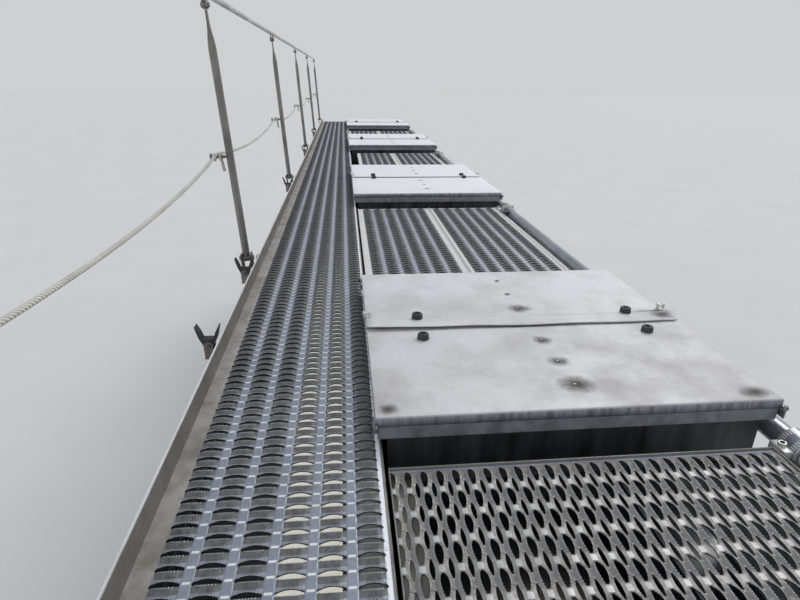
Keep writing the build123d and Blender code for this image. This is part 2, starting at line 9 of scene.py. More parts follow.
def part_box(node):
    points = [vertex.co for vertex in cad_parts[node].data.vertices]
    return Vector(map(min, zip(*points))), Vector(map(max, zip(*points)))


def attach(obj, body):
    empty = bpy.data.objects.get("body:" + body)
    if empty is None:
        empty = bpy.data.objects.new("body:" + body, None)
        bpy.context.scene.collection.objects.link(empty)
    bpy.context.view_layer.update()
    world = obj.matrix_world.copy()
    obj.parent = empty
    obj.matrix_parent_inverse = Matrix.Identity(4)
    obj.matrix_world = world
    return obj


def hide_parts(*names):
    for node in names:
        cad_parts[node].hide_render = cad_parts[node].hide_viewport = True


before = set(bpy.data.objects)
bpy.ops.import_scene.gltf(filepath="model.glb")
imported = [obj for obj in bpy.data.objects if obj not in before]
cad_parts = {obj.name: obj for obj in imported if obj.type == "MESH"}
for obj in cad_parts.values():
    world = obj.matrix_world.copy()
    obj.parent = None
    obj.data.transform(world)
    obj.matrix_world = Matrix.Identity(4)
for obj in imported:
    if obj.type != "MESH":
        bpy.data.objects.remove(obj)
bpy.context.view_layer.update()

bl_info = {
    "name": "Tanker trailer finish",
    "version": (1, 0, 0),
    "blender": (4, 5, 0),
    "location": "3D View > Sidebar > Tanker",
    "description": "Builds the visible surfaces of a tanker semi-trailer around its solids",
    "category": "Object",
}

# Metres. +X towards the tractor end, +Y left, +Z up.
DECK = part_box("gratings")[1].z
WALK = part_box("walkway")
COVER_NAMES = ("c1", "c2", "c3", "c4")
POSTS = range(6)
FORK_X = (-5.390, -3.905, -3.220, -1.200, 0.870, 2.950)
AXLES = (1, 2, 3)
SIDES = (("l", 1), ("r", -1))
POST_Y, FOOT_Z = 0.768, DECK + 0.054
LEAN, RISE = 0.060, 0.986             # head outward of the foot and above it
POST_L = math.hypot(LEAN, RISE)
PEG_UP, ROPE_OUT = 0.437, 0.050
PIPE_Y, PIPE_Z = -0.752, DECK - 0.025
COVER_Y = (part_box("leaf_c1_near")[0].y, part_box("leaf_c1_near")[1].y)
COVER_SIDES = tuple(zip(COVER_Y, (-1, 1)))      # each edge with its way outward
COVER_TOP = DECK + 0.080
HINGE_Z = DECK + 0.0525
PLANK_SEAM = -0.220
PLANK_DEEP = 0.040

# rear X, front X, left edge Y, right edge Y, planks laid across
FIELDS = [
    (-5.850, -4.528, 0.249, -0.666, True), (-3.386, -1.966, 0.249, -0.666, False),
    (-0.500, 0.840, 0.184, -0.666, False), (2.306, 3.556, 0.249, -0.666, False),
    (5.022, 5.450, 0.249, -0.666, True),
]
# share of the tread's own pitch along and across the lens, by the way a plank lies
STRETCH = {False: (1.063, 0.970), True: (1.0, 1.030)}
ROW_X, ROW_Y = -4.698, 0.209          # centre line of one row of lenses, lengthwise and across
FINE_X = tuple(ROW_X + rows * 0.034 * 0.970 for rows in (-8.5, 16.5))   # each tooth cut here
WALK_TREAD = (0.2614, 0.6854)


def length(name, description, default):
    return FloatProperty(name=name, description=description, default=default, unit="LENGTH")


def shade(name, description, default):
    return FloatVectorProperty(name=name, description=description, default=default, size=3,
                               subtype="COLOR")


class TankerSizes(bpy.types.PropertyGroup):
    """Sizes of the fine forms that the solids leave out."""

    pitch_long: length("Tread pitch along the lens", "From one wide lens to the next, end to end", 0.0665)
    pitch_short: length("Tread pitch across the lens", "From one wide lens to the next, side to side",
                        0.034)
    wide_long: length("Wide lens half length", "Half the length of the wide opening", 0.0238)
    wide_short: length("Wide lens half width", "Half the width of the wide opening at its middle", 0.0082)
    wide_tip: length("Wide lens tip", "Half the width of its blunt ends", 0.0026)
    walk_short: length("Raised lens half width", "Half the width of the opening in planks laid lengthwise",
                       0.0066)
    walk_rise: length("Raised lens height", "Height of its toothed lips over its ends", 0.0048)
    cross_rise: length("Cross lens height", "Height of the lips in planks laid across", 0.0050)
    narrow_long: length("Narrow lens half length", "Half the length of the narrow opening", 0.0222)
    narrow_short: length("Narrow lens half width", "Half the width of the narrow opening", 0.0048)
    narrow_tip: length("Narrow lens tip", "Half the width of its ends", 0.0012)
    eye_long: length("Eye half length", "From a lens's middle to the end of its raised flank", 0.0252)
    eye_short: length("Eye half width", "From a lens's middle to the foot of its raised flank", 0.0112)
    sheet: length("Sheet thickness", "Thickness of the lids and planks", 0.0035)
    rope: length("Rope diameter", "Diameter of the rope along the posts", 0.012)
    tyre_ribs: IntProperty(name="Tyre ribs", description="Ribs round each tread", default=5, min=3, max=7)


class TankerColours(bpy.types.PropertyGroup):
    """Colours of the finishes."""

    lid: shade("Lid sheet", "Weathered aluminium of the lids", (0.66, 0.635, 0.615))
    lid_stain: shade("Lid stain", "Grey blotches on the lids", (0.52, 0.495, 0.475))
    tread: shade("Tread", "Aluminium of the planks laid across", (0.265, 0.250, 0.230))
    grime: shade("Grime", "Dirt in corners and on margins", (0.10, 0.085, 0.065))
    skin: shade("Tank skin", "Dull aluminium of the tank", (0.62, 0.63, 0.64))
    rope: shade("Rope", "Cream fibre of the rope", (0.82, 0.79, 0.68))
    rubber: shade("Rubber", "Black rubber of tyres, buffers and forks", (0.018, 0.018, 0.019))
    frame_paint: shade("Frame paint", "Dark paint of the chassis", (0.055, 0.058, 0.062))


def sizes():
    return bpy.context.scene.tanker_sizes


def colours():
    return bpy.context.scene.tanker_colours


# Node wiring

def add_node(tree, kind, **settings):
    node = tree.nodes.new(kind)
    for key, value in settings.items():
        setattr(node, key, value)
    return node


def noise_node(tree, vector, scale, detail, roughness=0.55):
    node = add_node(tree, "ShaderNodeTexNoise")
    node.inputs["Scale"].default_value = scale
    node.inputs["Detail"].default_value = detail
    node.inputs["Roughness"].default_value = roughness
    tree.links.new(vector, node.inputs["Vector"])
    return node.outputs["Fac"]


def ramp(tree, value, low, high, to_low=0.0, to_high=1.0):
    node = add_node(tree, "ShaderNodeMapRange", clamp=True)
    for name, number in (("From Min", low), ("From Max", high), ("To Min", to_low), ("To Max", to_high)):
        node.inputs[name].default_value = number
    tree.links.new(value, node.inputs["Value"])
    return node.outputs["Result"]


def maths(tree, operation, first, second=None):
    node = add_node(tree, "ShaderNodeMath", operation=operation)
    for socket, value in zip(node.inputs, (first, second)):
        if value is None:
            continue
        if isinstance(value, (int, float)):
            socket.default_value = value
        else:
            tree.links.new(value, socket)
    return node.outputs[0]


def mix(tree, factor, first, second):
    node = add_node(tree, "ShaderNodeMix", data_type="RGBA")
    for socket, value in ((node.inputs[0], factor), (node.inputs[6], first), (node.inputs[7], second)):
        if isinstance(value, (int, float)):
            socket.default_value = value
        elif isinstance(value, bpy.types.NodeSocket):
            tree.links.new(value, socket)
        else:
            socket.default_value = (*value, 1.0)
    return node.outputs[2]


def stretched(tree, vector, scale):
    node = add_node(tree, "ShaderNodeVectorMath", operation="MULTIPLY")
    node.inputs[1].default_value = scale
    tree.links.new(vector, node.inputs[0])
    return node.outputs[0]


def along_axis(tree, vector, axis):
    """One coordinate of a position or a direction."""
    split = add_node(tree, "ShaderNodeSeparateXYZ")
    tree.links.new(vector, split.inputs[0])
    return split.outputs[axis]


def new_group(name, inputs, outputs):
    tree = bpy.data.node_groups.new(name, "ShaderNodeTree")
    for label, kind, default in inputs:
        socket = tree.interface.new_socket(name=label, in_out="INPUT", socket_type=kind)
        if default is not None:
            socket.default_value = default
    for label, kind in outputs:
        tree.interface.new_socket(name=label, in_out="OUTPUT", socket_type=kind)
    return tree, tree.nodes.new("NodeGroupInput"), tree.nodes.new("NodeGroupOutput")


def blotch_group():
    """Large blotches, fine speckle and a height, at a given scale."""
    tree, given, out = new_group(
        "Blotches",
        [("Vector", "NodeSocketVector", None), ("Scale", "NodeSocketFloat", 3.0)],
        [("Blotch", "NodeSocketFloat"), ("Speckle", "NodeSocketFloat"), ("Height", "NodeSocketFloat")])
    scaled = add_node(tree, "ShaderNodeVectorMath", operation="SCALE")
    tree.links.new(given.outputs["Vector"], scaled.inputs[0])
    tree.links.new(given.outputs["Scale"], scaled.inputs["Scale"])
    large, small, fine = (noise_node(tree, scaled.outputs[0], *settings) for settings in (
        (1.0, 5.0, 0.62), (14.0, 3.0, 0.6), (60.0, 2.0, 0.5)))
    height = maths(tree, "ADD", maths(tree, "MULTIPLY", small, 0.6), maths(tree, "MULTIPLY", fine, 0.4))
    tree.links.new(ramp(tree, large, 0.40, 0.68), out.inputs["Blotch"])
    tree.links.new(ramp(tree, small, 0.35, 0.75), out.inputs["Speckle"])
    tree.links.new(height, out.inputs["Height"])
    return tree


def grime_group():
    """Dirt that runs down upright faces and settles on flat ones, by the surface's own direction."""
    tree, given, out = new_group(
        "Grime",
        [("Vector", "NodeSocketVector", None), ("Amount", "NodeSocketFloat", 0.5)],
        [("Dirt", "NodeSocketFloat")])
    facing = along_axis(tree, add_node(tree, "ShaderNodeNewGeometry").outputs["Normal"], "Z")
    upright = maths(tree, "SUBTRACT", 1.0, maths(tree, "ABSOLUTE", facing))
    runs = noise_node(tree, stretched(tree, given.outputs["Vector"], (26.0, 26.0, 2.5)), 1.0, 4.0, 0.6)
    cloud = noise_node(tree, given.outputs["Vector"], 5.0, 5.0, 0.65)
    streak = maths(tree, "MULTIPLY", upright, ramp(tree, runs, 0.35, 0.7))
    settled = ramp(tree, cloud, 0.45, 0.75, 0.0, 0.7)
    total = maths(tree, "ADD", streak, settled)
    tree.links.new(maths(tree, "MULTIPLY", total, given.outputs["Amount"]), out.inputs["Dirt"])
    return tree


def use_group(tree, group, vector, **values):
    node = add_node(tree, "ShaderNodeGroup", node_tree=bpy.data.node_groups[group])
    tree.links.new(vector, node.inputs["Vector"])
    for key, value in values.items():
        node.inputs[key].default_value = value
    return node


def new_material(name, metallic, roughness):
    """A material with its shader, and the tree, shader and object position to wire up."""
    material = bpy.data.materials.new(name)
    material.use_nodes = True
    tree = material.node_tree
    shader = tree.nodes["Principled BSDF"]
    shader.inputs["Metallic"].default_value = metallic
    shader.inputs["Roughness"].default_value = roughness
    place = add_node(tree, "ShaderNodeTexCoord").outputs["Object"]
    return material, tree, shader, place


def bump(tree, shader, height, strength, distance):
    node = add_node(tree, "ShaderNodeBump")
    node.inputs["Strength"].default_value = strength
    node.inputs["Distance"].default_value = distance
    tree.links.new(height, node.inputs["Height"])
    tree.links.new(node.outputs["Normal"], shader.inputs["Normal"])


def coat(shader):
    """The colour that a shader shows so far."""
    return shader.inputs["Base Color"].links[0].from_socket


def paint(tree, shader, colour):
    tree.links.new(colour, shader.inputs["Base Color"])


def plain_finish(name, base, dark, dirt, amount, metallic, rough, scale, bumps=0.15):
    """A weathered surface: two tones in blotches, with dirt over them."""
    material, tree, shader, place = new_material(name, metallic, rough)
    spots = use_group(tree, "Blotches", place, Scale=scale)
    grime = use_group(tree, "Grime", place, Amount=amount)
    tone = mix(tree, spots.outputs["Blotch"], base, dark)
    speckled = mix(tree, maths(tree, "MULTIPLY", spots.outputs["Speckle"], 0.35), tone, dark)
    paint(tree, shader, mix(tree, grime.outputs["Dirt"], speckled, dirt))
    gloss = ramp(tree, spots.outputs["Blotch"], 0.0, 1.0, rough - 0.06, rough + 0.12)
    tree.links.new(gloss, shader.inputs["Roughness"])
    bump(tree, shader, spots.outputs["Height"], bumps, 0.001)
    return material, tree, shader, place


def height_mask(tree, place, low, high):
    """0 below the low height and 1 above the high one."""
    return ramp(tree, along_axis(tree, place, "Z"), low, high)


def tread_finish(name, base, rough, grain):
    """Pressed aluminium in two tones, with a fine grain of dirt."""
    material, tree, shader, place = new_material(name, 0.35, rough)
    spots = use_group(tree, "Blotches", place, Scale=7.0)
    tone = mix(tree, spots.outputs["Blotch"], base, [v * 0.82 for v in base])
    dirt = maths(tree, "MULTIPLY", spots.outputs["Speckle"], grain)
    paint(tree, shader, mix(tree, dirt, tone, tuple(colours().grime)))
    tree.links.new(ramp(tree, spots.outputs["Speckle"], 0.0, 1.0, rough - 0.08, rough + 0.12),
                   shader.inputs["Roughness"])
    bump(tree, shader, spots.outputs["Height"], 0.3, 0.001)
    return material


def rope_finish(name):
    """Laid fibre: slanted strands with worn, greyer stretches."""
    fibre = tuple(colours().rope)
    material, tree, shader, place = new_material(name, 0.0, 0.85)
    slant = add_node(tree, "ShaderNodeVectorMath", operation="DOT_PRODUCT")
    slant.inputs[1].default_value = (1.0, 0.9, 0.9)
    tree.links.new(place, slant.inputs[0])
    wave = maths(tree, "SINE", maths(tree, "MULTIPLY", slant.outputs["Value"], 620.0))
    strand = ramp(tree, wave, -1.0, 1.0)
    soil = ramp(tree, noise_node(tree, place, 9.0, 4.0, 0.6), 0.4, 0.7)
    base = mix(tree, soil, fibre, [v * 0.7 for v in fibre])
    # Dark in the grooves between the strands: painted shade.
    paint(tree, shader, mix(tree, strand, [v * 0.45 for v in fibre], base))
    bump(tree, shader, strand, 0.6, 0.0015)
    return material


def rubber_finish(name, lift=1.0):
    dark = [v * lift for v in colours().rubber]
    dusty = [v * 4.0 for v in dark]
    return plain_finish(name, dark, [v * 1.6 for v in dark], dusty, 0.5, 0.0, 0.62, 8.0, 0.2)[0]


def stain_and_shadow_finish(name):
    """Dark round stain that fades out from its middle, read from its own map; also used as painted shadow.
    """
    material, tree, shader, place = new_material(name, 0.0, 0.8)
    shader.inputs["Base Color"].default_value = (0.035, 0.028, 0.02, 1.0)
    chart = add_node(tree, "ShaderNodeUVMap", uv_map="stain")
    centred = add_node(tree, "ShaderNodeVectorMath", operation="LENGTH")
    tree.links.new(chart.outputs["UV"], centred.inputs[0])
    wander = maths(tree, "SUBTRACT", noise_node(tree, place, 55.0, 4.0, 0.7), 0.5)
    edge = maths(tree, "MULTIPLY", wander, 0.9)
    fade = ramp(tree, maths(tree, "ADD", centred.outputs["Value"], edge), 0.05, 0.95, 0.72, 0.0)
    tree.links.new(fade, shader.inputs["Alpha"])
    return material


def lid_finish():
    """Lid sheet: painted paler towards the front to light the far lids, specked, with its turned-down
    edges painted dark as shade and streaked with dirt.
    """
    c = colours()
    material, tree, shader, place = plain_finish(
        "lid_sheet", tuple(c.lid), tuple(c.lid_stain), (0.34, 0.30, 0.25), 0.4, 0.12, 0.58, 5.0, 0.12)
    # paler towards the front: painted light on the far lids
    far_lid_light = ramp(tree, along_axis(tree, place, "X"), -4.3, -1.6, 0.0, 0.75)
    sheet = mix(tree, far_lid_light, coat(shader), (0.93, 0.91, 0.90))
    specks = ramp(tree, noise_node(tree, place, 120.0, 3.0, 0.75), 0.60, 0.75, 0.0, 0.35)
    sheet = mix(tree, specks, sheet, (0.36, 0.33, 0.30))
    runs = noise_node(tree, stretched(tree, place, (60.0, 60.0, 6.0)), 1.0, 3.0, 0.6)
    # turned-down edges painted dark and bluish as shade, with streaks of dirt
    shaded_fold = mix(tree, ramp(tree, runs, 0.40, 0.62), (0.36, 0.38, 0.42), (0.19, 0.20, 0.225))
    top = height_mask(tree, place, COVER_TOP - 0.0075, COVER_TOP - 0.0022)
    paint(tree, shader, mix(tree, top, shaded_fold, sheet))
    return material


def glow_highlight_finish():
    """Flange painted as if in full sun, with a weak glow: a painted highlight, since the studio light
    doesn't reach it.
    """
    material, tree, shader, place = plain_finish(
        "glowing_highlight_flange", (0.90, 0.88, 0.78), (0.80, 0.78, 0.70), (0.4, 0.36, 0.28), 0.3, 0.0, 0.6, 9.0)
    # weak glow: painted light, though the flange is no lamp
    shader.inputs["Emission Color"].default_value = (0.95, 0.93, 0.80, 1.0)
    shader.inputs["Emission Strength"].default_value = 0.45
    return material


def upstand_finish():
    """Upstands: plain alloy on the outside and painted shade between them, under the deck."""
    material, tree, shader, place = plain_finish(
        "upstand_alloy", (0.34, 0.34, 0.33), (0.22, 0.22, 0.21), tuple(colours().grime),
        0.8, 0.4, 0.5, 5.0)
    y = along_axis(tree, place, "Y")
    outside = maths(tree, "MAXIMUM", ramp(tree, y, 0.6540, 0.6555), ramp(tree, y, -0.6340, -0.6355))
    # painted shade on the faces between the upstands
    inner = maths(tree, "SUBTRACT", 1.0, outside)
    paint(tree, shader, mix(tree, inner, coat(shader), (0.070, 0.072, 0.074)))
    return material


def box_finish():
    """Spill boxes: walls painted dark as shade, below a paler, mottled rolled rim."""
    # near black walls: painted shade
    material, tree, shader, place = plain_finish(
        "box_alloy", (0.085, 0.094, 0.104), (0.060, 0.066, 0.072), (0.02, 0.019, 0.017),
        0.9, 0.35, 0.55, 6.0)
    mottle = ramp(tree, noise_node(tree, place, 22.0, 4.0, 0.6), 0.35, 0.7)
    rolled = mix(tree, mottle, (0.29, 0.31, 0.32), (0.15, 0.165, 0.175))
    rim = height_mask(tree, place, DECK + 0.016, DECK + 0.019)
    paint(tree, shader, mix(tree, rim, coat(shader), rolled))
    return material


def margin_finish():
    """Margins: bright and specked beside the planks' seam, plank tone right of it, dusty on the left."""
    material, tree, shader, place = plain_finish(
        "margin_alloy", (0.46, 0.43, 0.39), (0.25, 0.23, 0.19), tuple(colours().grime),
        0.5, 0.1, 0.6, 14.0)
    specks = ramp(tree, noise_node(tree, place, 160.0, 3.0, 0.7), 0.58, 0.72)
    y = along_axis(tree, place, "Y")
    bright = mix(tree, specks, (0.93, 0.92, 0.92), (0.50, 0.47, 0.44))
    plank = mix(tree, specks, (0.70, 0.67, 0.62), (0.42, 0.39, 0.35))
    right = mix(tree, ramp(tree, y, 0.2500, 0.2555), plank, bright)
    paint(tree, shader, mix(tree, ramp(tree, y, 0.45, 0.55), right, coat(shader)))
    return material


def skin_finish():
    """Tank skin, with painted shade where the deck covers it."""
    skin = tuple(colours().skin)
    material, tree, shader, place = plain_finish(
        "tank_skin", skin, [v * 0.82 for v in skin], (0.30, 0.27, 0.23), 0.35, 0.75, 0.34, 1.2, 0.05)
    # painted shade on the skin below the deck
    under = height_mask(tree, place, DECK - 0.32, DECK - 0.26)
    paint(tree, shader, mix(tree, under, coat(shader), (0.03, 0.028, 0.025)))
    return material


def plain_finishes():
    """Material name, two tones, dirt, its amount, metallic, roughness, scale of blotches, bump."""
    c = colours()
    grime, coating = tuple(c.grime), tuple(c.frame_paint)
    return {
        # flanges under the tread: grey painted as lit, dim and dark painted as shade
        "grey_lit_flange": ("grey_lit_flange", (0.70, 0.70, 0.62), (0.52, 0.52, 0.46), (0.15, 0.14, 0.11),
                        0.3, 0.0, 0.7, 9.0),
        "dim_shade_flange": ("dim_shade_flange", (0.27, 0.255, 0.22), (0.17, 0.16, 0.135), (0.10, 0.09, 0.07),
                       0.4, 0.0, 0.7, 9.0),
        "deep_shade_flange": ("deep_shade_flange", (0.085, 0.088, 0.090), (0.050, 0.051, 0.052),
                        (0.02, 0.018, 0.015), 0.3, 0.0, 0.8, 9.0),
        # bright flats and tooth tips: wear with a painted highlight
        "worn": ("worn_flat_highlight", (0.88, 0.86, 0.80), (0.74, 0.73, 0.70), (0.5, 0.47, 0.42),
                 0.3, 0.2, 0.38, 9.0),
        "worn_cross_highlight": ("worn_cross_highlight", (0.50, 0.49, 0.48), (0.36, 0.35, 0.34), (0.3, 0.28, 0.25),
                       0.3, 0.2, 0.45, 9.0),
        "far_margin": ("far_margin", (0.24, 0.26, 0.30), (0.17, 0.18, 0.21), grime, 0.5, 0.3, 0.5, 9.0),
        # walls of the tread's openings: near black, painted shade
        "flank": ("tread_flank_shade", (0.036, 0.039, 0.045), (0.022, 0.024, 0.027), (0.01, 0.009, 0.008),
                  0.3, 0.1, 0.8, 20.0),
        "kick": ("kick_alloy", (0.27, 0.255, 0.23), (0.20, 0.185, 0.165), (0.13, 0.115, 0.09),
                 0.5, 0.35, 0.5, 7.0),
        "alloy": ("plain_alloy", (0.33, 0.33, 0.32), (0.19, 0.19, 0.18), grime, 0.8, 0.45, 0.5, 5.0),
        "rail": ("rail_tube", (0.58, 0.58, 0.57), (0.46, 0.45, 0.43), (0.26, 0.24, 0.20),
                 0.3, 0.45, 0.42, 5.0, 0.05),
        "post": ("post_tube", (0.26, 0.26, 0.25), (0.17, 0.165, 0.15), (0.10, 0.085, 0.06),
                 0.35, 0.65, 0.34, 9.0, 0.08),
        "pipe": ("pipe_tube", (0.30, 0.315, 0.34), (0.20, 0.205, 0.22), (0.12, 0.11, 0.10),
                 0.35, 0.6, 0.28, 6.0),
        # steel of the pipe brackets and hinge bolts, darker than the zinc steel
        "dark_steel": ("dark_steel_tone", (0.075, 0.075, 0.078), (0.045, 0.043, 0.042),
                       (0.03, 0.025, 0.02), 0.6, 0.6, 0.5, 20.0),
        "bright": ("bright_edge", (0.82, 0.82, 0.80), (0.62, 0.6, 0.55), (0.3, 0.27, 0.2),
                   0.3, 0.4, 0.4, 8.0),
        "steel": ("zinc_steel", (0.36, 0.36, 0.36), (0.2, 0.19, 0.18), (0.12, 0.08, 0.05),
                  0.6, 0.8, 0.42, 20.0),
        "frame": ("frame_paint", coating, [v * 1.5 for v in coating], (0.16, 0.13, 0.10),
                  0.6, 0.1, 0.5, 4.0),
        "plastic": ("fender_plastic", (0.04, 0.04, 0.042), (0.055, 0.055, 0.056), (0.14, 0.12, 0.10),
                    0.6, 0.0, 0.6, 6.0),
        "wheel": ("wheel_alloy", (0.62, 0.62, 0.63), (0.45, 0.44, 0.43), (0.12, 0.10, 0.08),
                  0.5, 0.7, 0.35, 6.0),
        "box": ("box_steel", (0.55, 0.55, 0.56), (0.42, 0.42, 0.42), (0.2, 0.18, 0.15),
                0.35, 0.8, 0.3, 4.0),
        "lamp": ("lamp_red", (0.42, 0.012, 0.012), (0.30, 0.01, 0.01), (0.12, 0.05, 0.04),
                 0.25, 0.0, 0.18, 12.0, 0.05),
        "amber": ("lamp_amber", (0.75, 0.22, 0.01), (0.6, 0.16, 0.01), (0.2, 0.1, 0.04),
                  0.25, 0.0, 0.2, 12.0, 0.05),
    }


def make_materials():
    blotch_group()
    grime_group()
    made = {
        "lid": lid_finish(), "pale": glow_highlight_finish(), "upstand": upstand_finish(),
        "rim_edge": box_finish(), "margin": margin_finish(), "skin": skin_finish(),
        "walk": tread_finish("walk_web", (0.195, 0.200, 0.198), 0.55, 0.9),
        "cross": tread_finish("cross_web", tuple(colours().tread), 0.5, 0.3),
        # bluish necks round the lens ends: painted sky reflection
        "neck": tread_finish("neck_sky_reflection", (0.315, 0.335, 0.385), 0.4, 0.3),
        "rubber": rubber_finish("black_rubber"), "tyre": rubber_finish("tyre_rubber", 1.3),
        "rope": rope_finish("rope_fibre"), "stain": stain_and_shadow_finish("dark_stain_and_shadow"),
    }
    for finish, settings in plain_finishes().items():
        made[finish] = plain_finish(*settings)[0]
    return made


MATERIALS = {}
TREAD_SET = {True: ("cross", "worn_cross_highlight", "far_margin", "flank", "neck"),
             False: ("walk", "worn", "margin", "flank", "neck")}

# CAD nodes that keep their own shape: node, finish
FINISHES = [
    ("tank_shell", "skin"), ("deck_frame", "upstand"), ("spill_boxes", "rim_edge"),
    ("manhole_lids", "alloy"), ("rail_feet", "steel"), ("fork_plates", "steel"),
    ("rail_forks", "rubber"), ("vapour_pipe", "pipe"), ("pipe_brackets", "dark_steel"),
    ("chassis", "frame"), ("cross_members", "frame"), ("kingpin_plate", "steel"),
    ("landing_legs", "frame"), ("axle_beams", "frame"), ("suspension", "frame"),
    ("fender_l", "plastic"), ("fender_r", "plastic"), ("hose_tubes", "alloy"),
    ("tube_saddles", "alloy"), ("side_guards", "bright"), ("loading_pipes", "pipe"),
    ("toolbox", "box"), ("toolbox_door", "box"), ("bumper", "frame"), ("rear_lamps", "lamp"),
    ("ladder", "bright"), ("front_panel", "frame"), ("top_rail", "rail"), ("rail_lugs", "steel"),
]


# Mesh helpers

def block(bm, x, y, z, bevel=0.0):
    verts = bmesh.ops.create_cube(bm, size=1.0)["verts"]
    bmesh.ops.scale(bm, vec=(abs(x[1] - x[0]), abs(y[1] - y[0]), abs(z[1] - z[0])), verts=verts)
    bmesh.ops.translate(bm, vec=((x[0] + x[1]) / 2, (y[0] + y[1]) / 2, (z[0] + z[1]) / 2), verts=verts)
    if bevel:
        edges = list({e for v in verts for e in v.link_edges})
        bmesh.ops.bevel(bm, geom=edges, offset=bevel, segments=2, profile=0.5, affect="EDGES", material=-1)


def along(start, end):
    """Matrix that stands a Z piece between two points."""
    start, end = Vector(start), Vector(end)
    turn = (end - start).to_track_quat("Z", "Y").to_matrix().to_4x4()
    return Matrix.Translation((start + end) / 2) @ turn


def bar(bm, start, end, radius, sides, tip=None):
    length = (Vector(end) - Vector(start)).length
    bmesh.ops.create_cone(bm, cap_ends=True, segments=sides, radius1=radius,
                          radius2=radius if tip is None else tip, depth=length, matrix=along(start, end))


def lathe(bm, outline, centre, axis, steps, closed=True):
    """Spin an outline of (radius, distance along the axis) about an axis through centre."""
    axis = Vector(axis).normalized()
    side = axis.orthogonal().normalized()
    verts = [bm.verts.new(Vector(centre) + side * r + axis * d) for r, d in outline]
    pairs = list(zip(verts, verts[1:]))
    if closed:
        pairs.append((verts[-1], verts[0]))
    edges = [bm.edges.new(pair) for pair in pairs]
    bmesh.ops.spin(bm, geom=verts + edges, cent=centre, axis=axis, angle=2 * math.pi,
                   steps=steps, use_merge=True)


def show(name, data):
    """New object at the origin, put in the scene."""
    made = bpy.data.objects.new(name, data)
    bpy.context.scene.collection.objects.link(made)
    return made


def to_mesh(bm, name):
    mesh = bpy.data.meshes.new(name)
    bm.to_mesh(mesh)
    bm.free()
    return mesh


def add_mesh(bm, mesh):
    bm.from_mesh(mesh)
    bpy.data.meshes.remove(mesh)


def join(target, part, place):
    """Add one small shape to a larger one at its own place."""
    mesh = to_mesh(part, "part")
    mesh.transform(place)
    add_mesh(target, mesh)


def new_verts(geom):
    return [g for g in geom if isinstance(g, bmesh.types.BMVert)]


def face_up(bm):
    bmesh.ops.recalc_face_normals(bm, faces=bm.faces)
    bmesh.ops.reverse_faces(bm, faces=[f for f in bm.faces if f.normal.z < 0])


def tidy(bm):
    """Weld what meets and turn the faces outwards."""
    bmesh.ops.remove_doubles(bm, verts=bm.verts, dist=0.00002)
    bmesh.ops.recalc_face_normals(bm, faces=bm.faces)


def make_piece(bm, name, body, finishes, replaces=(), angle=35.0):
    mesh = to_mesh(bm, name)
    for finish in finishes:
        mesh.materials.append(MATERIALS[finish])
    mesh.shade_smooth()
    mesh.set_sharp_from_angle(angle=math.radians(angle))
    piece = show(name, mesh)
    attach(piece, body)
    if replaces:
        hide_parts(*replaces)
    return piece


def thicken(piece, thickness):
    """A wall grown inwards from the outer skin."""
    solid = piece.modifiers.new("Wall", "SOLIDIFY")
    solid.thickness = thickness
    solid.offset = -1.0


# Tread

# places along half a cell where the tread is cut, from the wide lens's middle
STATIONS = {
    True: (0.0, 0.0022, 0.0044, 0.0066, 0.0088, 0.0110, 0.01125, 0.0132, 0.0154, 0.0176, 0.0198, 0.0220,
           0.0238, 0.02405, 0.02675, 0.03325),
    False: (0.0, 0.0108, 0.0180, 0.0238, 0.02675, 0.03325),
}
# by the way a plank lies: True where it lies across
BRIDGE = {True: 0.0056, False: 0.0058}               # half width of the flat between two wide lenses
LIFT = {"gratings": -0.0004, "walkway": 0.0032}      # lip tips over the deck line
VALLEY = {True: 0.0010, False: 0.0028}               # valley beside a lens below its ends
FOOT = {True: 0.45, False: 0.43}                     # flank's foot, from the rim to the cell's edge
TOOTH, TOOTH_OUT, TOOTH_UP = 0.0022, 0.0007, 0.0009  # pitch, and half swing sideways and upward
LIT_TEETH_REACH = 0.018                                   # teeth are bright up to here from the middle, as wear with a painted highlight
LIP_BAND, EASE = 0.0012, 0.8                         # band beside the rim; how its flank eases out
WALL, LOW_RIM = 0.0032, 0.0018                       # depth of an opening's wall; dip of its teeth
MERGE, PLANK_RIM = 0.00008, 0.0025                   # weld distance; sheet outside the last lens
WEB, WORN_AND_LIT, MARGIN, FLANK_SHADE, NECK_SKY = range(5)


def half_width(distance, long, short, tip):
    if abs(distance) > long + 0.00001:
        return 0.0
    return tip + (short - tip) * (1.0 - (distance / long) ** 2)


def tread_heights(x, across):
    """Height of the lens's lip and of the valley beside it, at one place along the lens."""
    s = sizes()
    rise = s.cross_rise if across else s.walk_rise
    arch = max(0.0, 1.0 - (x / s.wide_long) ** 2)
    return -rise * (1.0 - arch), -rise - VALLEY[across]


def cell_point(x, row, last_row, shares, closed, across):
    """Place of a grid point beside a lens, and half the opening's width there."""
    s = sizes()
    wide = half_width(x, s.wide_long, s.wide_short if across else s.walk_short, s.wide_tip)
    slim = half_width(s.pitch_long / 2 - abs(x), s.narrow_long, s.narrow_short, s.narrow_tip)
    if not across or closed and x * closed > 0:
        slim = 0.0
    lip, valley = tread_heights(x, across)
    if closed and x * closed > s.wide_long:
        valley = lip - 0.0001
    edge = s.pitch_short / 2 - slim
    share = shares[row]
    if share is None:
        y, z = (wide + LIP_BAND, lip - 0.0010) if wide > 0 else (BRIDGE[across] * 0.5, lip)
    elif wide <= 0 and 0 < row < last_row:
        y, z = BRIDGE[across], lip - 0.0003
    elif share == FOOT[across] and not across:
        y = max(wide + LIP_BAND, s.eye_short * (1.0 - (x / s.eye_long) ** 2))
        z = lip + (valley - lip) * ((y - wide) / (edge - wide)) ** EASE
    else:
        y, z = wide + (edge - wide) * share, lip + (valley - lip) * share ** EASE
    return y, z, wide


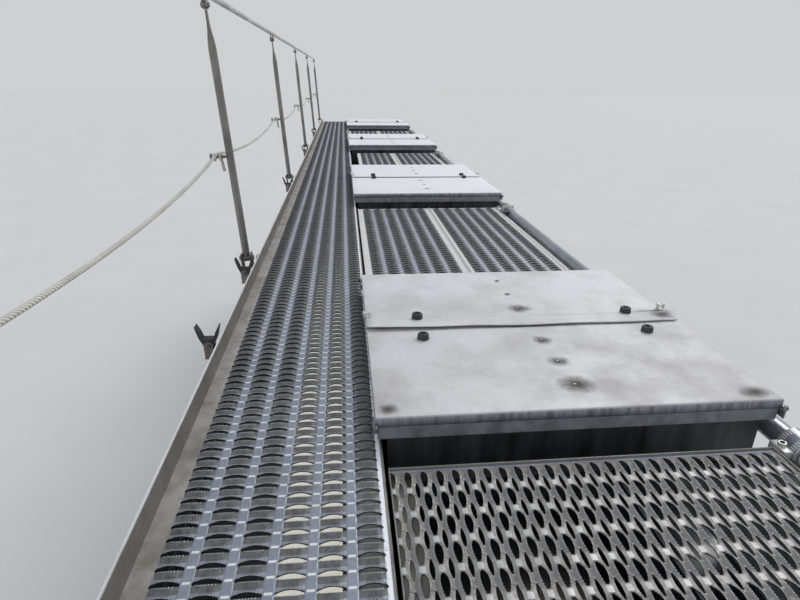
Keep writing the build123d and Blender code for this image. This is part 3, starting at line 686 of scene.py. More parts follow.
def tread_cell(fine, closed, across):
    """One wide lens, long way along X, with raised toothed lips.

    Planks laid across also have a quarter of a narrow lens at each corner, closed at the
    low end (-1), the high end (1) or neither."""
    s = sizes()
    reach = STATIONS[fine]
    stations = [-x for x in reversed(reach[1:])] + list(reach)
    last = len(stations) - 1
    shares = (0.0, None, FOOT[across], 1.0) if fine else (0.0, FOOT[across], 1.0)
    rows = len(shares) - 1
    bm = bmesh.new()
    rim, outer = set(), set()
    for side in (-1, 1):
        for v in bmesh.ops.create_grid(bm, x_segments=last, y_segments=rows, size=0.5)["verts"]:
            step, row = round((v.co.x + 0.5) * last), round((v.co.y + 0.5) * rows)
            y, z, wide = cell_point(stations[step], row, rows, shares, closed, across)
            if row == rows:
                outer.add(v)
            if row == 0 and fine and wide > 0:
                tooth = 1 if step % 2 else -1
                y -= TOOTH_OUT * tooth
                z += TOOTH_UP * (tooth - 1)
                rim.add(v)
            v.co = (stations[step], side * y, z)
    face_up(bm)
    flat = BRIDGE[across] + 0.0002
    for face in bm.faces:
        middle = face.calc_center_median()
        far = max(abs(v.co.y) for v in face.verts)
        band = middle.y < 0 and bool(outer.intersection(face.verts))
        face.material_index = WEB
        if closed and middle.x * closed > (reach[-4] if across else s.wide_long - 0.002):
            face.material_index = MARGIN
        # Bright flats between wide lenses, on the walkway only their far half: wear with a painted
        # highlight.
        elif abs(middle.x) > reach[-2] and far < flat and (across or middle.y < 0):
            face.material_index = WORN_AND_LIT
        # The bluish necks here carry a painted sky reflection.
        elif not across and (band or abs(middle.x) > s.wide_long):
            face.material_index = NECK_SKY
        # Alternate tooth faces near the middle: wear with a painted highlight.
        elif fine and len(rim.intersection(face.verts)) > 1 and abs(middle.x) < LIT_TEETH_REACH:
            if math.floor(middle.x / TOOTH) % 2:
                face.material_index = WORN_AND_LIT
    return to_mesh(bm, "cell")


def repeated(mesh, counts, offsets):
    """Copies of a mesh in rows, joined."""
    cell = show("cell", mesh)
    for number, step in zip(counts, offsets):
        array = cell.modifiers.new("Repeat", "ARRAY")
        array.count = number
        array.use_relative_offset = False
        array.use_constant_offset = True
        array.constant_offset_displace = step
    shown = cell.evaluated_get(bpy.context.evaluated_depsgraph_get())
    made = bpy.data.meshes.new_from_object(shown)
    bpy.data.objects.remove(cell)
    return made


def tread_field(columns, rows, fine, across):
    """A field of lenses with its low corner at the origin, lens length along X."""
    s = sizes()
    level = tread_heights(s.pitch_long, across)[0] - 0.0002
    offsets = ((s.pitch_long, 0, 0), (0, s.pitch_short, 0))
    bm = bmesh.new()
    for closed, start, count in ((-1, 0, 1), (0, 1, columns - 2), (1, columns - 1, 1)):
        mesh = repeated(tread_cell(fine, closed, across), (count, rows), offsets)
        mesh.transform(Matrix.Translation(((start + 0.5) * s.pitch_long, s.pitch_short / 2, 0)))
        add_mesh(bm, mesh)
    bmesh.ops.remove_doubles(bm, verts=bm.verts, dist=MERGE)
    rims = [e for e in bm.edges if e.is_boundary
            and (fine and across or min(v.co.z for v in e.verts) > level - LOW_RIM * fine)]
    down = bmesh.ops.extrude_edge_only(bm, edges=rims)["geom"]
    bmesh.ops.translate(bm, vec=(0, 0, -WALL), verts=new_verts(down))
    # The walls down from the openings' rims take the painted shade.
    for face in (g for g in down if isinstance(g, bmesh.types.BMFace)):
        face.material_index = FLANK_SHADE
    return to_mesh(bm, "field")


def lay_field(bm, x, y, across, columns, fine, rows_at, lift):
    """Tread over part of a plank: lenses side by side, rows at a set place along it.

    Gives the rectangle that it covers."""
    s = sizes()
    long, short = s.pitch_long * STRETCH[across][0], s.pitch_short * STRETCH[across][1]
    low, high = y if across else x
    first, last = (low - rows_at) / short + 0.5, (high - rows_at) / short - 0.5
    if across:
        first, last = math.floor(first), math.ceil(last)
    else:
        first, last = math.ceil(first - 0.01), math.floor(last + 0.01)
    rows = last - first + 1
    mesh = tread_field(columns, rows, fine, across)
    mesh.transform(Matrix.Diagonal((*STRETCH[across], 1, 1)))
    start = rows_at + (first - 0.5) * short
    if across:
        area = (x[1] - PLANK_RIM - columns * long, x[1] - PLANK_RIM, y[0], y[1])
        mesh.transform(Matrix.Translation((area[0], start, DECK + lift)))
    else:
        middle, reach = (y[0] + y[1]) / 2, columns * long / 2
        area = (start, start + rows * short, middle - reach, middle + reach)
        turn = Matrix.Rotation(math.radians(90), 4, "Z")
        mesh.transform(Matrix.Translation((area[1], area[2], DECK + lift)) @ turn)
    before = len(bm.verts)
    add_mesh(bm, mesh)
    for place, way in ((y[0], -1), (y[1], 1)) if across else ():
        bm.verts.ensure_lookup_table()
        new = bm.verts[before:]
        edges = list({e for v in new for e in v.link_edges})
        faces = list({f for v in new for f in v.link_faces})
        bmesh.ops.bisect_plane(bm, geom=new + edges + faces, plane_co=(0, place, 0),
                               plane_no=(0, way, 0), clear_outer=True)
    return area


def mark_new(bm, first, finish):
    """Give the faces from the first one on a finish of their own."""
    bm.faces.ensure_lookup_table()
    for face in bm.faces[first:]:
        face.material_index = finish


def margins(bm, x, y, area, top):
    """Plain sheet between a tread field and the plank's edges."""
    first = len(bm.faces)
    for a, b, c, d in ((x[0], area[0], y[0], y[1]), (area[1], x[1], y[0], y[1]),
                       (area[0], area[1], y[0], area[2]), (area[0], area[1], area[3], y[1])):
        if b - a > 0.001 and d - c > 0.001:
            block(bm, (a, b), (c, d), (top - sizes().sheet, top))
    mark_new(bm, first, MARGIN)


def lips(bm, x, y, across):
    """Turned-down long edges of a plank, and strips that close the ends of one laid across."""
    first = len(bm.faces)
    t = sizes().sheet
    for end, way in ((0, 1), (1, -1)):
        if across:
            block(bm, (x[end], x[end] + way * t), y, (DECK - PLANK_DEEP, DECK), 0.0008)
            block(bm, x, (y[end], y[end] + way * t * 0.8), (DECK - 0.0060, DECK), 0.0006)
        else:
            block(bm, x, (y[end], y[end] + way * t), (DECK - PLANK_DEEP, DECK), 0.0008)
    mark_new(bm, first, MARGIN)


class TANKER_OT_walkway(bpy.types.Operator):
    """Long plank with its lens tread, dirty margins and kick plate"""

    bl_idname = "tanker.walkway"
    bl_label = "Walkway"

    def execute(self, context):
        low, high = WALK
        s = sizes()
        kick, edge_z = high.y - s.sheet, high.z - 0.006
        lift = LIFT["walkway"]
        for name, x, fine in (("rear", (low.x, FINE_X[0]), False), ("near", FINE_X, True),
                              ("front", (FINE_X[1], high.x), False)):
            bm = bmesh.new()
            area = lay_field(bm, x, WALK_TREAD, False, 6, fine, ROW_X, lift)
            ends = (x[0] if name == "rear" else area[0], x[1] if name == "front" else area[1])
            margins(bm, ends, (low.y, kick), area, DECK + lift - s.walk_rise)
            replaced = ("walkway",) if name == "front" else ()
            make_piece(bm, f"walkway_{name}", "trailer", TREAD_SET[False], replaced, 50)
        bm = bmesh.new()
        block(bm, (low.x, high.x), (kick, high.y), (DECK - PLANK_DEEP, edge_z))
        block(bm, (low.x, high.x), (low.y, low.y + s.sheet), (DECK - PLANK_DEEP, DECK), 0.0008)
        make_piece(bm, "kick_plate", "trailer", ("kick",))
        # Bright top edge of the kick plate: a painted highlight.
        edge = bmesh.new()
        block(edge, (low.x, high.x), (kick - 0.0015, high.y), (edge_z, high.z), 0.0012)
        make_piece(edge, "kick_plate_edge_highlight", "trailer", ("bright",))
        return {"FINISHED"}


# flanges of the upstands that show through the openings, in painted tones of light and shade: rear X,
# front X, right Y, left Y, finish
FLANGES = [(-5.850, 5.450, 0.350, 0.480, "pale"), (-5.850, 5.450, 0.255, 0.332, "grey_lit_flange"),
           (-5.850, -4.528, 0.196, 0.245, "dim_shade_flange"), (-5.850, 5.450, 0.490, 0.700, "deep_shade_flange"),
           (-5.850, -4.528, -0.716, -0.380, "deep_shade_flange")]
FLANGE_Z = (DECK - 0.0335, DECK - 0.0315)
UPSTAND_TOP = DECK - 0.0135           # clear of the walls of the lenses


class TANKER_OT_flanges(bpy.types.Operator):
    """Flanges of the deck's upstands, seen through the tread, in painted tones of light and shade"""

    bl_idname = "tanker.flanges"
    bl_label = "Flanges"

    def execute(self, context):
        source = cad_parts["deck_frame"]
        upstands = bmesh.new()
        upstands.from_mesh(source.data)
        bmesh.ops.transform(upstands, matrix=source.matrix_world, verts=upstands.verts)
        for v in upstands.verts:
            v.co.z = min(v.co.z, UPSTAND_TOP)
        make_piece(upstands, "deck_upstands", "trailer", ("upstand",), ("deck_frame",))
        for number, (x0, x1, y0, y1, finish) in enumerate(FLANGES):
            bm = bmesh.new()
            block(bm, (x0, x1), (y0, y1), FLANGE_Z)
            make_piece(bm, f"flange_{number}", "trailer", (finish,))
        return {"FINISHED"}


PLANK_WIDE, PLANK_GAP = 0.45, 0.002   # usual width of a plank laid across; half the gap


class TANKER_OT_gratings(bpy.types.Operator):
    """Tread planks between the lids"""

    bl_idname = "tanker.gratings"
    bl_label = "Gratings"

    def execute(self, context):
        for number, (x0, x1, left, right, across) in enumerate(FIELDS):
            bm = bmesh.new()
            if across:
                count = max(1, round((x1 - x0) / PLANK_WIDE))
                step = (x1 - x0) / count
                planks = [((x0 + i * step + PLANK_GAP, x0 + (i + 1) * step - PLANK_GAP), (right, left))
                          for i in range(count)]
            else:
                planks = [((x0, x1), (PLANK_SEAM + PLANK_GAP, left)),
                          ((x0, x1), (right, PLANK_SEAM - PLANK_GAP))]
            rise = sizes().cross_rise if across else sizes().walk_rise
            for x, y in planks:
                fine = across and x[0] < FINE_X[1] and x[1] > FINE_X[0] + 0.02
                wide = (x[1] - x[0]) if across else (y[1] - y[0])
                columns = int((wide - 0.012) / (sizes().pitch_long * STRETCH[across][0]))
                area = lay_field(bm, x, y, across, columns, fine, ROW_Y if across else ROW_X,
                                 LIFT["gratings"])
                margins(bm, x, y, area, DECK + LIFT["gratings"] - rise)
                lips(bm, x, y, across)
            piece = make_piece(bm, f"grating_{number}", "trailer", TREAD_SET[across], (), 50)
            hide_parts("gratings")
        return {"FINISHED"}


# Lids

# cover: buffers on the near and the far leaf, from the seam
BUFFERS = {"c1": (0.091, 0.052), "c2": (0.056, 0.045), "c3": (0.056, 0.045), "c4": (0.056, 0.045)}
BUFFER_Y = (-0.593, 0.108)
SCREW_Y = -0.242
# place along X and size of each screw's stain on the first cover, and as a share of a leaf elsewhere
FIRST_MARKS = {"near": ((-4.347, 0.043), (-4.224, 0.0275), (-4.094, 0.026)),
               "far": ((-3.854, 0.034), (-3.722, 0.012), (-3.584, 0.010))}
OTHER_MARKS = {"near": ((0.23, 0.020), (0.48, 0.014), (0.76, 0.016)),
               "far": ((0.30, 0.012), (0.52, 0.016), (0.78, 0.018))}
STRIP = (-0.028, 0.050)               # seam strip's free edge and its crease, from the seam
LEAF_INSET, BOLT_INSET = 0.011, 0.009
SCREW_R, PIN_R = 0.0055, 0.0090
BUFFER_RING = [(0.0035, 0), (0.0178, 0), (0.0180, 0.003), (0.0165, 0.0145), (0.0145, 0.0165),
               (0.0085, 0.0165), (0.0065, 0.0115), (0.0035, 0.0115)]


def cover_span(name, inset):
    """Rear and front X of a pair of leaves, a little in from the ends of its solids."""
    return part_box(f"leaf_{name}_near")[0].x + inset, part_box(f"leaf_{name}_far")[1].x - inset


def lid_sheet(bm, edge, seam, way):
    """Top skin of one leaf, slightly uneven."""
    y0, y1 = COVER_Y
    turn = 0.004
    inner, outer = edge + way * turn, seam - way * turn
    for v in bmesh.ops.create_grid(bm, x_segments=18, y_segments=26, size=0.5)["verts"]:
        share, row = v.co.x + 0.5, v.co.y + 0.5
        x = inner + (outer - inner) * share
        y = y0 + turn + (y1 - y0 - 2 * turn) * row
        wave = noise.noise(Vector((x * 3.0, y * 3.0, 7.0 * way))) * 0.0014
        v.co = (x, y, COVER_TOP - 0.0013 + wave * math.sin(math.pi * share) * math.sin(math.pi * row))


def fold_down(bm, edge, seam, way, lip):
    """Fold the outer boundary down with a small round."""
    y0, y1 = COVER_Y
    near = 0.0045
    for out, drop in ((0.0025, 0.0010), (0.0015, 0.0028), (0.0, lip - 0.0050)):
        edges = [e for e in bm.edges if e.is_boundary]
        for v in new_verts(bmesh.ops.extrude_edge_only(bm, edges=edges)["geom"]):
            if v.co.y < y0 + near:
                v.co.y = max(y0, v.co.y - out)
            if v.co.y > y1 - near:
                v.co.y = min(y1, v.co.y + out)
            if abs(v.co.x - edge) < near:
                v.co.x -= way * out
            if abs(v.co.x - seam) < near:
                v.co.x += way * out
            v.co.z -= drop


def seam_strip(mid, wear):
    """Strip along the far leaf's seam that laps over the near leaf, lifted at its left end."""
    bm = bmesh.new()
    y0, y1 = COVER_Y
    for v in bmesh.ops.create_grid(bm, x_segments=5, y_segments=40, size=0.5)["verts"]:
        out, row = 0.5 - v.co.x, v.co.y + 0.5
        y = y0 + 0.0005 + (y1 - y0 - 0.001) * row
        lift = 0.0085 * wear * max(0.0, (row - 0.45) / 0.55) ** 1.6
        wander = 0.0016 * math.sin(y * 19.0 + mid) + 0.003 * noise.noise(Vector((y * 6.0, 3.0, mid)))
        x = mid + STRIP[1] + (STRIP[0] - STRIP[1]) * out + wander * out
        v.co = (x, y, COVER_TOP + 0.0016 + (0.0030 + lift) * out ** 1.5)
    face_up(bm)
    return bm


def stain(bm, x, y, up, along_x, along_y):
    """Flat disc a little above the lid, with its own map, 1 at the rim."""
    layer = bm.loops.layers.uv.get("stain") or bm.loops.layers.uv.new("stain")
    made = bmesh.ops.create_circle(bm, cap_ends=True, segments=24, radius=1.0)["verts"]
    for face in {f for v in made for f in v.link_faces}:
        for loop in face.loops:
            loop[layer].uv = (loop.vert.co.x, loop.vert.co.y)
    for v in made:
        v.co = (x + v.co.x * along_x, y + v.co.y * along_y, COVER_TOP + up)


def leaf_stains_and_shadow(marks, name, leaf, edge, mid):
    """Stains at the corner of the first leaf and beside the seam, and a painted shadow along the seams
    under the strip's free edge.
    """
    if leaf == "near":
        if name == "c1":
            stain(marks, edge + 0.034, -0.680, 0.0012, 0.030, 0.050)
            stain(marks, edge + 0.032, 0.240, 0.0012, 0.026, 0.028)
        # painted shadow under the seam strip's free edge
        stain(marks, mid + STRIP[0] - 0.003, -0.230, 0.0010, 0.009, 0.490)
    elif name == "c1":
        stain(marks, mid + 0.052, -0.690, 0.0012, 0.016, 0.090)
        stain(marks, mid + 0.020, -0.705, 0.0062, 0.042, 0.050)


def leaf_fittings(name, leaf, edge, way, mid):
    """Screws and hinge pins of one leaf, and its stains and painted shadow."""
    fittings, marks = bmesh.new(), bmesh.new()
    spots = FIRST_MARKS[leaf] if name == "c1" else [
        (edge + way * abs(mid - edge) * share, size) for share, size in OTHER_MARKS[leaf]]
    for x, size in spots:
        bar(fittings, (x, SCREW_Y, COVER_TOP - 0.001), (x, SCREW_Y, COVER_TOP + 0.0016),
            SCREW_R, 14, SCREW_R * 0.7)
        stain(marks, x, SCREW_Y - size * 0.12, 0.0011, size * 1.15, size * 1.35)
    hinge = edge - way * 0.002
    for y, out in COVER_SIDES:
        bar(fittings, (hinge, y - out * 0.004, HINGE_Z), (hinge, y, HINGE_Z), PIN_R, 20)
        block(fittings, (hinge, edge + way * 0.014), (y, y - out * 0.004),
              (HINGE_Z - 0.002, HINGE_Z + 0.010))
    leaf_stains_and_shadow(marks, name, leaf, edge, mid)
    return fittings, marks


def buffers(x, base):
    """Two rubber buffers of a leaf, each round its screw."""
    pads = bmesh.new()
    for y in BUFFER_Y:
        lathe(pads, BUFFER_RING, (x, y, base), (0, 0, 1), 28)
        bar(pads, (x, y, COVER_TOP), (x, y, base + 0.012), 0.0035, 10)
    tidy(pads)
    return pads


def seam_latches(x):
    """Two lugs and a pin at each end of the seam."""
    latch = bmesh.new()
    height = COVER_TOP + 0.011
    for y, out in COVER_SIDES:
        for dy in (-0.016, 0.003):
            block(latch, (x, x + 0.014), (y + out * dy, y + out * (dy + 0.005)),
                  (COVER_TOP - 0.001, COVER_TOP + 0.019), 0.0015)
        bar(latch, (x + 0.007, y - out * 0.018, height), (x + 0.007, y + out * 0.009, height), 0.004, 12)
    return latch


class TANKER_OT_lids(bpy.types.Operator):
    """Pairs of hinged sheet lids with rubber buffers, screws, bolts and seam latches"""

    bl_idname = "tanker.lids"
    bl_label = "Manhole lids"

    def execute(self, context):
        for name in COVER_NAMES:
            x_near, x_far = cover_span(name, LEAF_INSET)
            mid = (x_near + x_far) / 2
            for leaf, edge, way, inward in (("near", x_near, 1, BUFFERS[name][0]),
                                            ("far", x_far, -1, BUFFERS[name][1])):
                body, seam = f"lid_{name}_{leaf}", mid - way * 0.008
                bm = bmesh.new()
                lid_sheet(bm, edge, seam, way)
                fold_down(bm, edge, seam, way, 0.026)
                bmesh.ops.recalc_face_normals(bm, faces=bm.faces)
                sheet = make_piece(bm, f"lid_sheet_{name}_{leaf}", body, ("lid",),
                                   (f"leaf_{name}_{leaf}",), 60)
                thicken(sheet, 0.003)
                if leaf == "far":
                    strip = seam_strip(mid, 1.0 if name == "c1" else 0.25)
                    thin = make_piece(strip, f"seam_strip_{name}", body, ("lid",), (), 60)
                    thicken(thin, 0.0013)
                fittings, marks = leaf_fittings(name, leaf, edge, way, mid)
                make_piece(fittings, f"lid_fittings_{name}_{leaf}", body, ("steel",))
                make_piece(marks, f"lid_marks_{name}_{leaf}", body, ("stain",))
                base = COVER_TOP + (0.0020 if leaf == "far" else -0.0005)
                pads = buffers(mid - way * inward, base)
                make_piece(pads, f"buffers_{name}_{leaf}", body, ("rubber",))
            make_piece(seam_latches(mid + 0.070), f"seam_latches_{name}", f"lid_{name}_far",
                       ("bright",))
        return {"FINISHED"}


class TANKER_OT_hinge_bolts(bpy.types.Operator):
    """Bolt heads on the hinge lugs of the boxes"""

    bl_idname = "tanker.hinge_bolts"
    bl_label = "Hinge bolts"

    def execute(self, context):
        bm = bmesh.new()
        for name in COVER_NAMES:
            for x in cover_span(name, BOLT_INSET):
                for y, out in COVER_SIDES:
                    face = y + out * 0.0055
                    bar(bm, (x, face, HINGE_Z), (x, face + out * 0.0015, HINGE_Z), 0.0085, 18)
                    bar(bm, (x, face + out * 0.0015, HINGE_Z), (x, face + out * 0.007, HINGE_Z), 0.0065, 6)
        make_piece(bm, "hinge_bolts", "trailer", ("dark_steel",))
        return {"FINISHED"}


# Handrail

ROPE_SAG = (0.060, 0.050, 0.060, 0.050, 0.045)
SPAN_POINTS = 12
BEND_SHARE, END_BEND_IN = 0.092, 0.0027     # rise of the route over a peg, as a share of the sag
ROPE_END, END_DROP = 0.060, 0.012
TURN_R, STRAND_R = 0.0118, 0.0055


def post_x(i):
    low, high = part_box(f"post_{i}")
    return (low.x + high.x) / 2


def on_post(x):
    """From a post's own upright frame, with its foot pin at the origin, to the trailer's."""
    return Matrix.Translation((x, POST_Y, FOOT_Z)) @ Matrix.Rotation(-math.atan2(LEAN, RISE), 4, "X")


def rope_route():
    """The rope's own points, one span after another, over the pegs."""
    pegs = [post_x(i) for i in POSTS]
    peg = on_post(0.0) @ Vector((0, ROPE_OUT, PEG_UP))
    y, over = peg.y, peg.z + 0.0123 * POST_L / RISE
    points = [(pegs[0] - ROPE_END, y, over - END_DROP)]
    for i, sag in enumerate(ROPE_SAG):
        for k in range(SPAN_POINTS):
            t = k / SPAN_POINTS
            bend = BEND_SHARE * (sag + ROPE_SAG[i - 1]) / 2 if i else END_BEND_IN
            lift = 0.0 if k else bend
            points.append((pegs[i] + t * (pegs[i + 1] - pegs[i]), y, over + lift - 4 * sag * t * (1 - t)))
    points.append((pegs[-1], y, over + END_BEND_IN))
    points.append((pegs[-1] + ROPE_END, y, over - END_DROP))
    return pegs, points


def rope_curve(points):
    curve = bpy.data.curves.new("rope", "CURVE")
    curve.dimensions = "3D"
    spline = curve.splines.new("NURBS")
    spline.points.add(len(points) - 1)
    for point, co in zip(spline.points, points):
        point.co = (*co, 1.0)
    spline.order_u = 3
    spline.use_endpoint_u = True
    curve.resolution_u = 6
    curve.bevel_depth = sizes().rope / 2
    curve.bevel_resolution = 3
    curve.use_fill_caps = True
    curve.materials.append(MATERIALS["rope"])
    return curve


def rope_turns(bm, x):
    """Two turns round a post's peg and the end that hangs from them."""
    one = bmesh.new()
    for dy, lean in ((-0.0125, 0.10), (0.0125, -0.12)):
        ring = [(TURN_R + STRAND_R * math.cos(a), STRAND_R * math.sin(a))
                for a in (math.radians(40 * k) for k in range(9))]
        lathe(one, ring, (0, ROPE_OUT + dy, PEG_UP), (lean, 1, 0), 24)
    bar(one, (0.012, ROPE_OUT - 0.011, PEG_UP - 0.004), (0.020, ROPE_OUT - 0.013, PEG_UP - 0.060),
        STRAND_R, 12, 0.007)
    join(bm, one, on_post(x))


class TANKER_OT_rope(bpy.types.Operator):
    """Slack fibre rope along the posts, with its turns round each peg"""

    bl_idname = "tanker.rope"
    bl_label = "Rope"

    def execute(self, context):
        pegs, points = rope_route()
        rope = show("rope_line", rope_curve(points))
        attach(rope, "rope_line")
        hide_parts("rope")
        bm = bmesh.new()
        for x in pegs:
            rope_turns(bm, x)
        tidy(bm)
        knots = make_piece(bm, "rope_turns", "rope_line", ("rope",))
        return {"FINISHED"}


POST_R, PEG_R = 0.0155, 0.006
CUTS = (0.150, 0.115, 0.085, 0.055)   # places down from the tip where the flattened end bends
# height up the post, face and depth of the nuts on both sides, radius
TIP_NUTS, FOOT_NUTS = (POST_L, 0.0105, 0.006, 0.009), (0, 0.0230, 0.008, 0.011)


def post_tube():
    """A round tube on its foot eye, flattened towards the eye at its tip."""
    bm = bmesh.new()
    bar(bm, (0, 0, 0), (0, 0, POST_L - 0.010), POST_R, 28)
    for down in CUTS:
        bmesh.ops.bisect_plane(bm, geom=bm.verts[:] + bm.edges[:] + bm.faces[:],
                               plane_co=(0, 0, POST_L - down), plane_no=(0, 0, 1))
    for v in bm.verts:
        t = min(1.0, max(0.0, (v.co.z - (POST_L - CUTS[0])) / (CUTS[0] - CUTS[-1])))
        flat = t * t * (3 - 2 * t)
        v.co.y *= 1 - 0.68 * flat
        v.co.x *= 1 - 0.03 * flat
    bar(bm, (0, -0.005, POST_L), (0, 0.005, POST_L), 0.0150, 24)
    bar(bm, (0, -0.0115, 0), (0, 0.0115, 0), 0.0153, 28)
    return bm


class TANKER_OT_posts(bpy.types.Operator):
    """Round handrail posts with flattened tips, pegs and pivot bolts"""

    bl_idname = "tanker.posts"
    bl_label = "Handrail posts"

    def execute(self, context):
        bolts, feet = bmesh.new(), bmesh.new()
        for i in POSTS:
            place = on_post(post_x(i))
            bm = post_tube()
            bmesh.ops.transform(bm, matrix=place, verts=bm.verts)
            make_piece(bm, f"rail_post_tube_{i}", f"rail_post_{i}", ("post",), (f"post_{i}",))
            pegs, end = bmesh.new(), ROPE_OUT + 0.024
            bar(pegs, (0, 0.013, PEG_UP), (0, end, PEG_UP), PEG_R, 16)
            bar(pegs, (0, end, PEG_UP), (0, end + 0.005, PEG_UP), 0.016, 24)
            bmesh.ops.transform(pegs, matrix=place, verts=pegs.verts)
            make_piece(pegs, f"rope_peg_{i}", f"rail_post_{i}", ("steel",))
            for target, (up, face, deep, size) in ((bolts, TIP_NUTS), (feet, FOOT_NUTS)):
                pair = bmesh.new()
                for out in (-1, 1):
                    bar(pair, (0, out * face, up), (0, out * (face + deep), up), size, 6)
                join(target, pair, place)
        make_piece(bolts, "rail_pivot_bolts", "hand_rail", ("steel",))
        make_piece(feet, "foot_bolts", "trailer", ("steel",))
        return {"FINISHED"}


class TANKER_OT_forks(bpy.types.Operator):
    """Bolts of the plates that hold the rubber forks"""

    bl_idname = "tanker.forks"
    bl_label = "Rail forks"

    def execute(self, context):
        bm = bmesh.new()
        for x in FORK_X:
            face, z = x - 0.0193, DECK + 0.008
            bar(bm, (face, POST_Y, z), (face - 0.006, POST_Y, z), 0.0072, 6)
        make_piece(bm, "fork_screws", "trailer", ("steel",))
        return {"FINISHED"}


# section of each ring: radius, distance along the pipe
CLAMP_RING = [(0.0305, -0.030), (0.040, -0.030), (0.042, -0.027), (0.042, -0.012), (0.0395, -0.009),
              (0.0395, 0.009), (0.042, 0.012), (0.042, 0.027), (0.040, 0.030), (0.0305, 0.030)]
PIPE_COLLAR = [(0.0302, -0.052), (0.034, -0.052), (0.034, -0.038), (0.0302, -0.038)]
CLAMP_BACK = 0.063                    # from the near leaf's edge to the clamp's middle


class TANKER_OT_couplings(bpy.types.Operator):
    """Cast clamps on the pipe beside the lids"""

    bl_idname = "tanker.couplings"
    bl_label = "Pipe clamps"

    def execute(self, context):
        bm = bmesh.new()
        for name in COVER_NAMES:
            x = cover_span(name, LEAF_INSET)[0] - CLAMP_BACK
            lathe(bm, CLAMP_RING, (x, PIPE_Y, PIPE_Z), (1, 0, 0), 40)
            for out in (-1, 1):
                block(bm, (x - 0.026, x + 0.026), (PIPE_Y + out * 0.036, PIPE_Y + out * 0.062),
                      (PIPE_Z - 0.014, PIPE_Z + 0.014), 0.004)
                for low, radius, corners in ((-0.030, 0.006, 12), (0.014, 0.010, 6)):
                    y = PIPE_Y + out * 0.050
                    bar(bm, (x, y, PIPE_Z + low), (x, y, PIPE_Z + 0.024), radius, corners)
            lathe(bm, PIPE_COLLAR, (x, PIPE_Y, PIPE_Z), (1, 0, 0), 32)
        tidy(bm)
        make_piece(bm, "pipe_clamps", "trailer", ("bright",))
        return {"FINISHED"}


# Wheels

TYRE_HALF, SHOULDER = 0.185, 0.155    # half width at the side walls and at the tread
# radius, distance in from the side wall
SIDE_WALL = [(0.293, 0.030), (0.300, 0.019), (0.318, 0.009), (0.345, 0.003), (0.348, 0.001),
             (0.352, 0.003), (0.400, 0), (0.452, 0.002), (0.456, 0), (0.460, 0.003), (0.488, 0.010),
             (0.508, 0.019)]
RIM_SECTION = [(0.272, -0.155), (0.2915, -0.155), (0.304, -0.165), (0.3085, -0.173), (0.302, -0.177),
               (0.286, -0.172), (0.266, -0.150), (0.262, -0.100), (0.262, 0.030), (0.250, 0.046),
               (0.215, 0.030), (0.175, 0.012), (0.090, 0.012), (0.090, 0.026), (0.172, 0.027),
               (0.212, 0.046), (0.248, 0.062), (0.268, 0.068), (0.274, 0.100), (0.272, 0.148),
               (0.286, 0.170), (0.302, 0.177), (0.3085, 0.173), (0.304, 0.165), (0.2915, 0.155),
               (0.280, 0.110), (0.279, -0.110)]
HUB_SECTION = [(0.0402, -0.180), (0.100, -0.180), (0.100, 0.026), (0.096, 0.030), (0.086, 0.034),
               (0.080, 0.060), (0.074, 0.092), (0.060, 0.097), (0.0402, 0.097)]
STUDS, STUD_R, HOLE_R = 10, 0.1675, 0.226
STUD_STEPS = ((0.006, 0.022, 16), (0.030, 0.0165, 6), (0.040, 0.011, 12))   # washer, nut, end


def tyre_outline():
    """Half section of a wide tyre from the bead to the tread's middle, with ribs and grooves."""
    side = [(r, TYRE_HALF - d) for r, d in SIDE_WALL]
    tread = [(0.5195, SHOULDER)]
    ribs = sizes().tyre_ribs
    pitch = 2 * SHOULDER / ribs
    d = SHOULDER
    for _ in range((ribs + 1) // 2):
        edge = d - pitch
        if edge <= -pitch / 2:
            break
        tread += [(0.5245, d - 0.008), (0.5250, max(edge + 0.006, 0.0))]
        if edge > 0:
            tread += [(0.512, edge + 0.0045), (0.512, edge - 0.0045)]
        d = edge
    return side + [p for p in tread if p[1] >= 0]


def round_hub(centre, angle, radius, out):
    return centre + Vector((radius * math.cos(angle), out, radius * math.sin(angle)))


def wheel_disc(centre, side):
    """Rim, hub with its cap, nuts and the rims of the hand holes."""
    bm = bmesh.new()
    for section, steps in ((RIM_SECTION, 60), (HUB_SECTION, 40)):
        lathe(bm, [(r, side * d) for r, d in section], centre, (0, 1, 0), steps)
    bar(bm, centre + Vector((0, side * 0.020, 0)), centre + Vector((0, side * 0.0975, 0)), 0.060, 32)
    for k in range(STUDS):
        spot = round_hub(centre, math.radians(360 / STUDS * k), STUD_R, side * 0.026)
        for out, radius, corners in STUD_STEPS:
            bar(bm, spot, spot + Vector((0, side * out, 0)), radius, corners)
    for k in range(STUDS):
        a = math.radians(360 / STUDS * (k + 0.5))
        spot = round_hub(centre, a, HOLE_R, side * 0.046)
        lean = Vector((math.cos(a) * 0.42, -side, math.sin(a) * 0.42)).normalized()
        bar(bm, spot - lean * 0.004, spot + lean * 0.016, 0.017, 20)
    tidy(bm)
    return bm


class TANKER_OT_wheels(bpy.types.Operator):
    """Wide tyres with ribbed tread, and alloy wheels with hand holes and nuts"""

    bl_idname = "tanker.wheels"
    bl_label = "Wheels"

    def execute(self, context):
        half = tyre_outline()
        outline = half + [(r, -d) for r, d in reversed(half) if d > 0.0001]
        for letter, side in SIDES:
            for n in AXLES:
                low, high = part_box(f"tyre_{letter}{n}")
                centre = (low + high) / 2
                body = f"wheel_{letter}{n}"
                bm = bmesh.new()
                lathe(bm, outline, centre, (0, 1, 0), 96)
                tidy(bm)
                make_piece(bm, f"tyre_ribbed_{letter}{n}", body, ("tyre",),
                           (f"tyre_{letter}{n}",), 30)
                make_piece(wheel_disc(centre, side), f"wheel_disc_{letter}{n}", body,
                           ("wheel",), (f"rim_{letter}{n}",), 40)
        return {"FINISHED"}


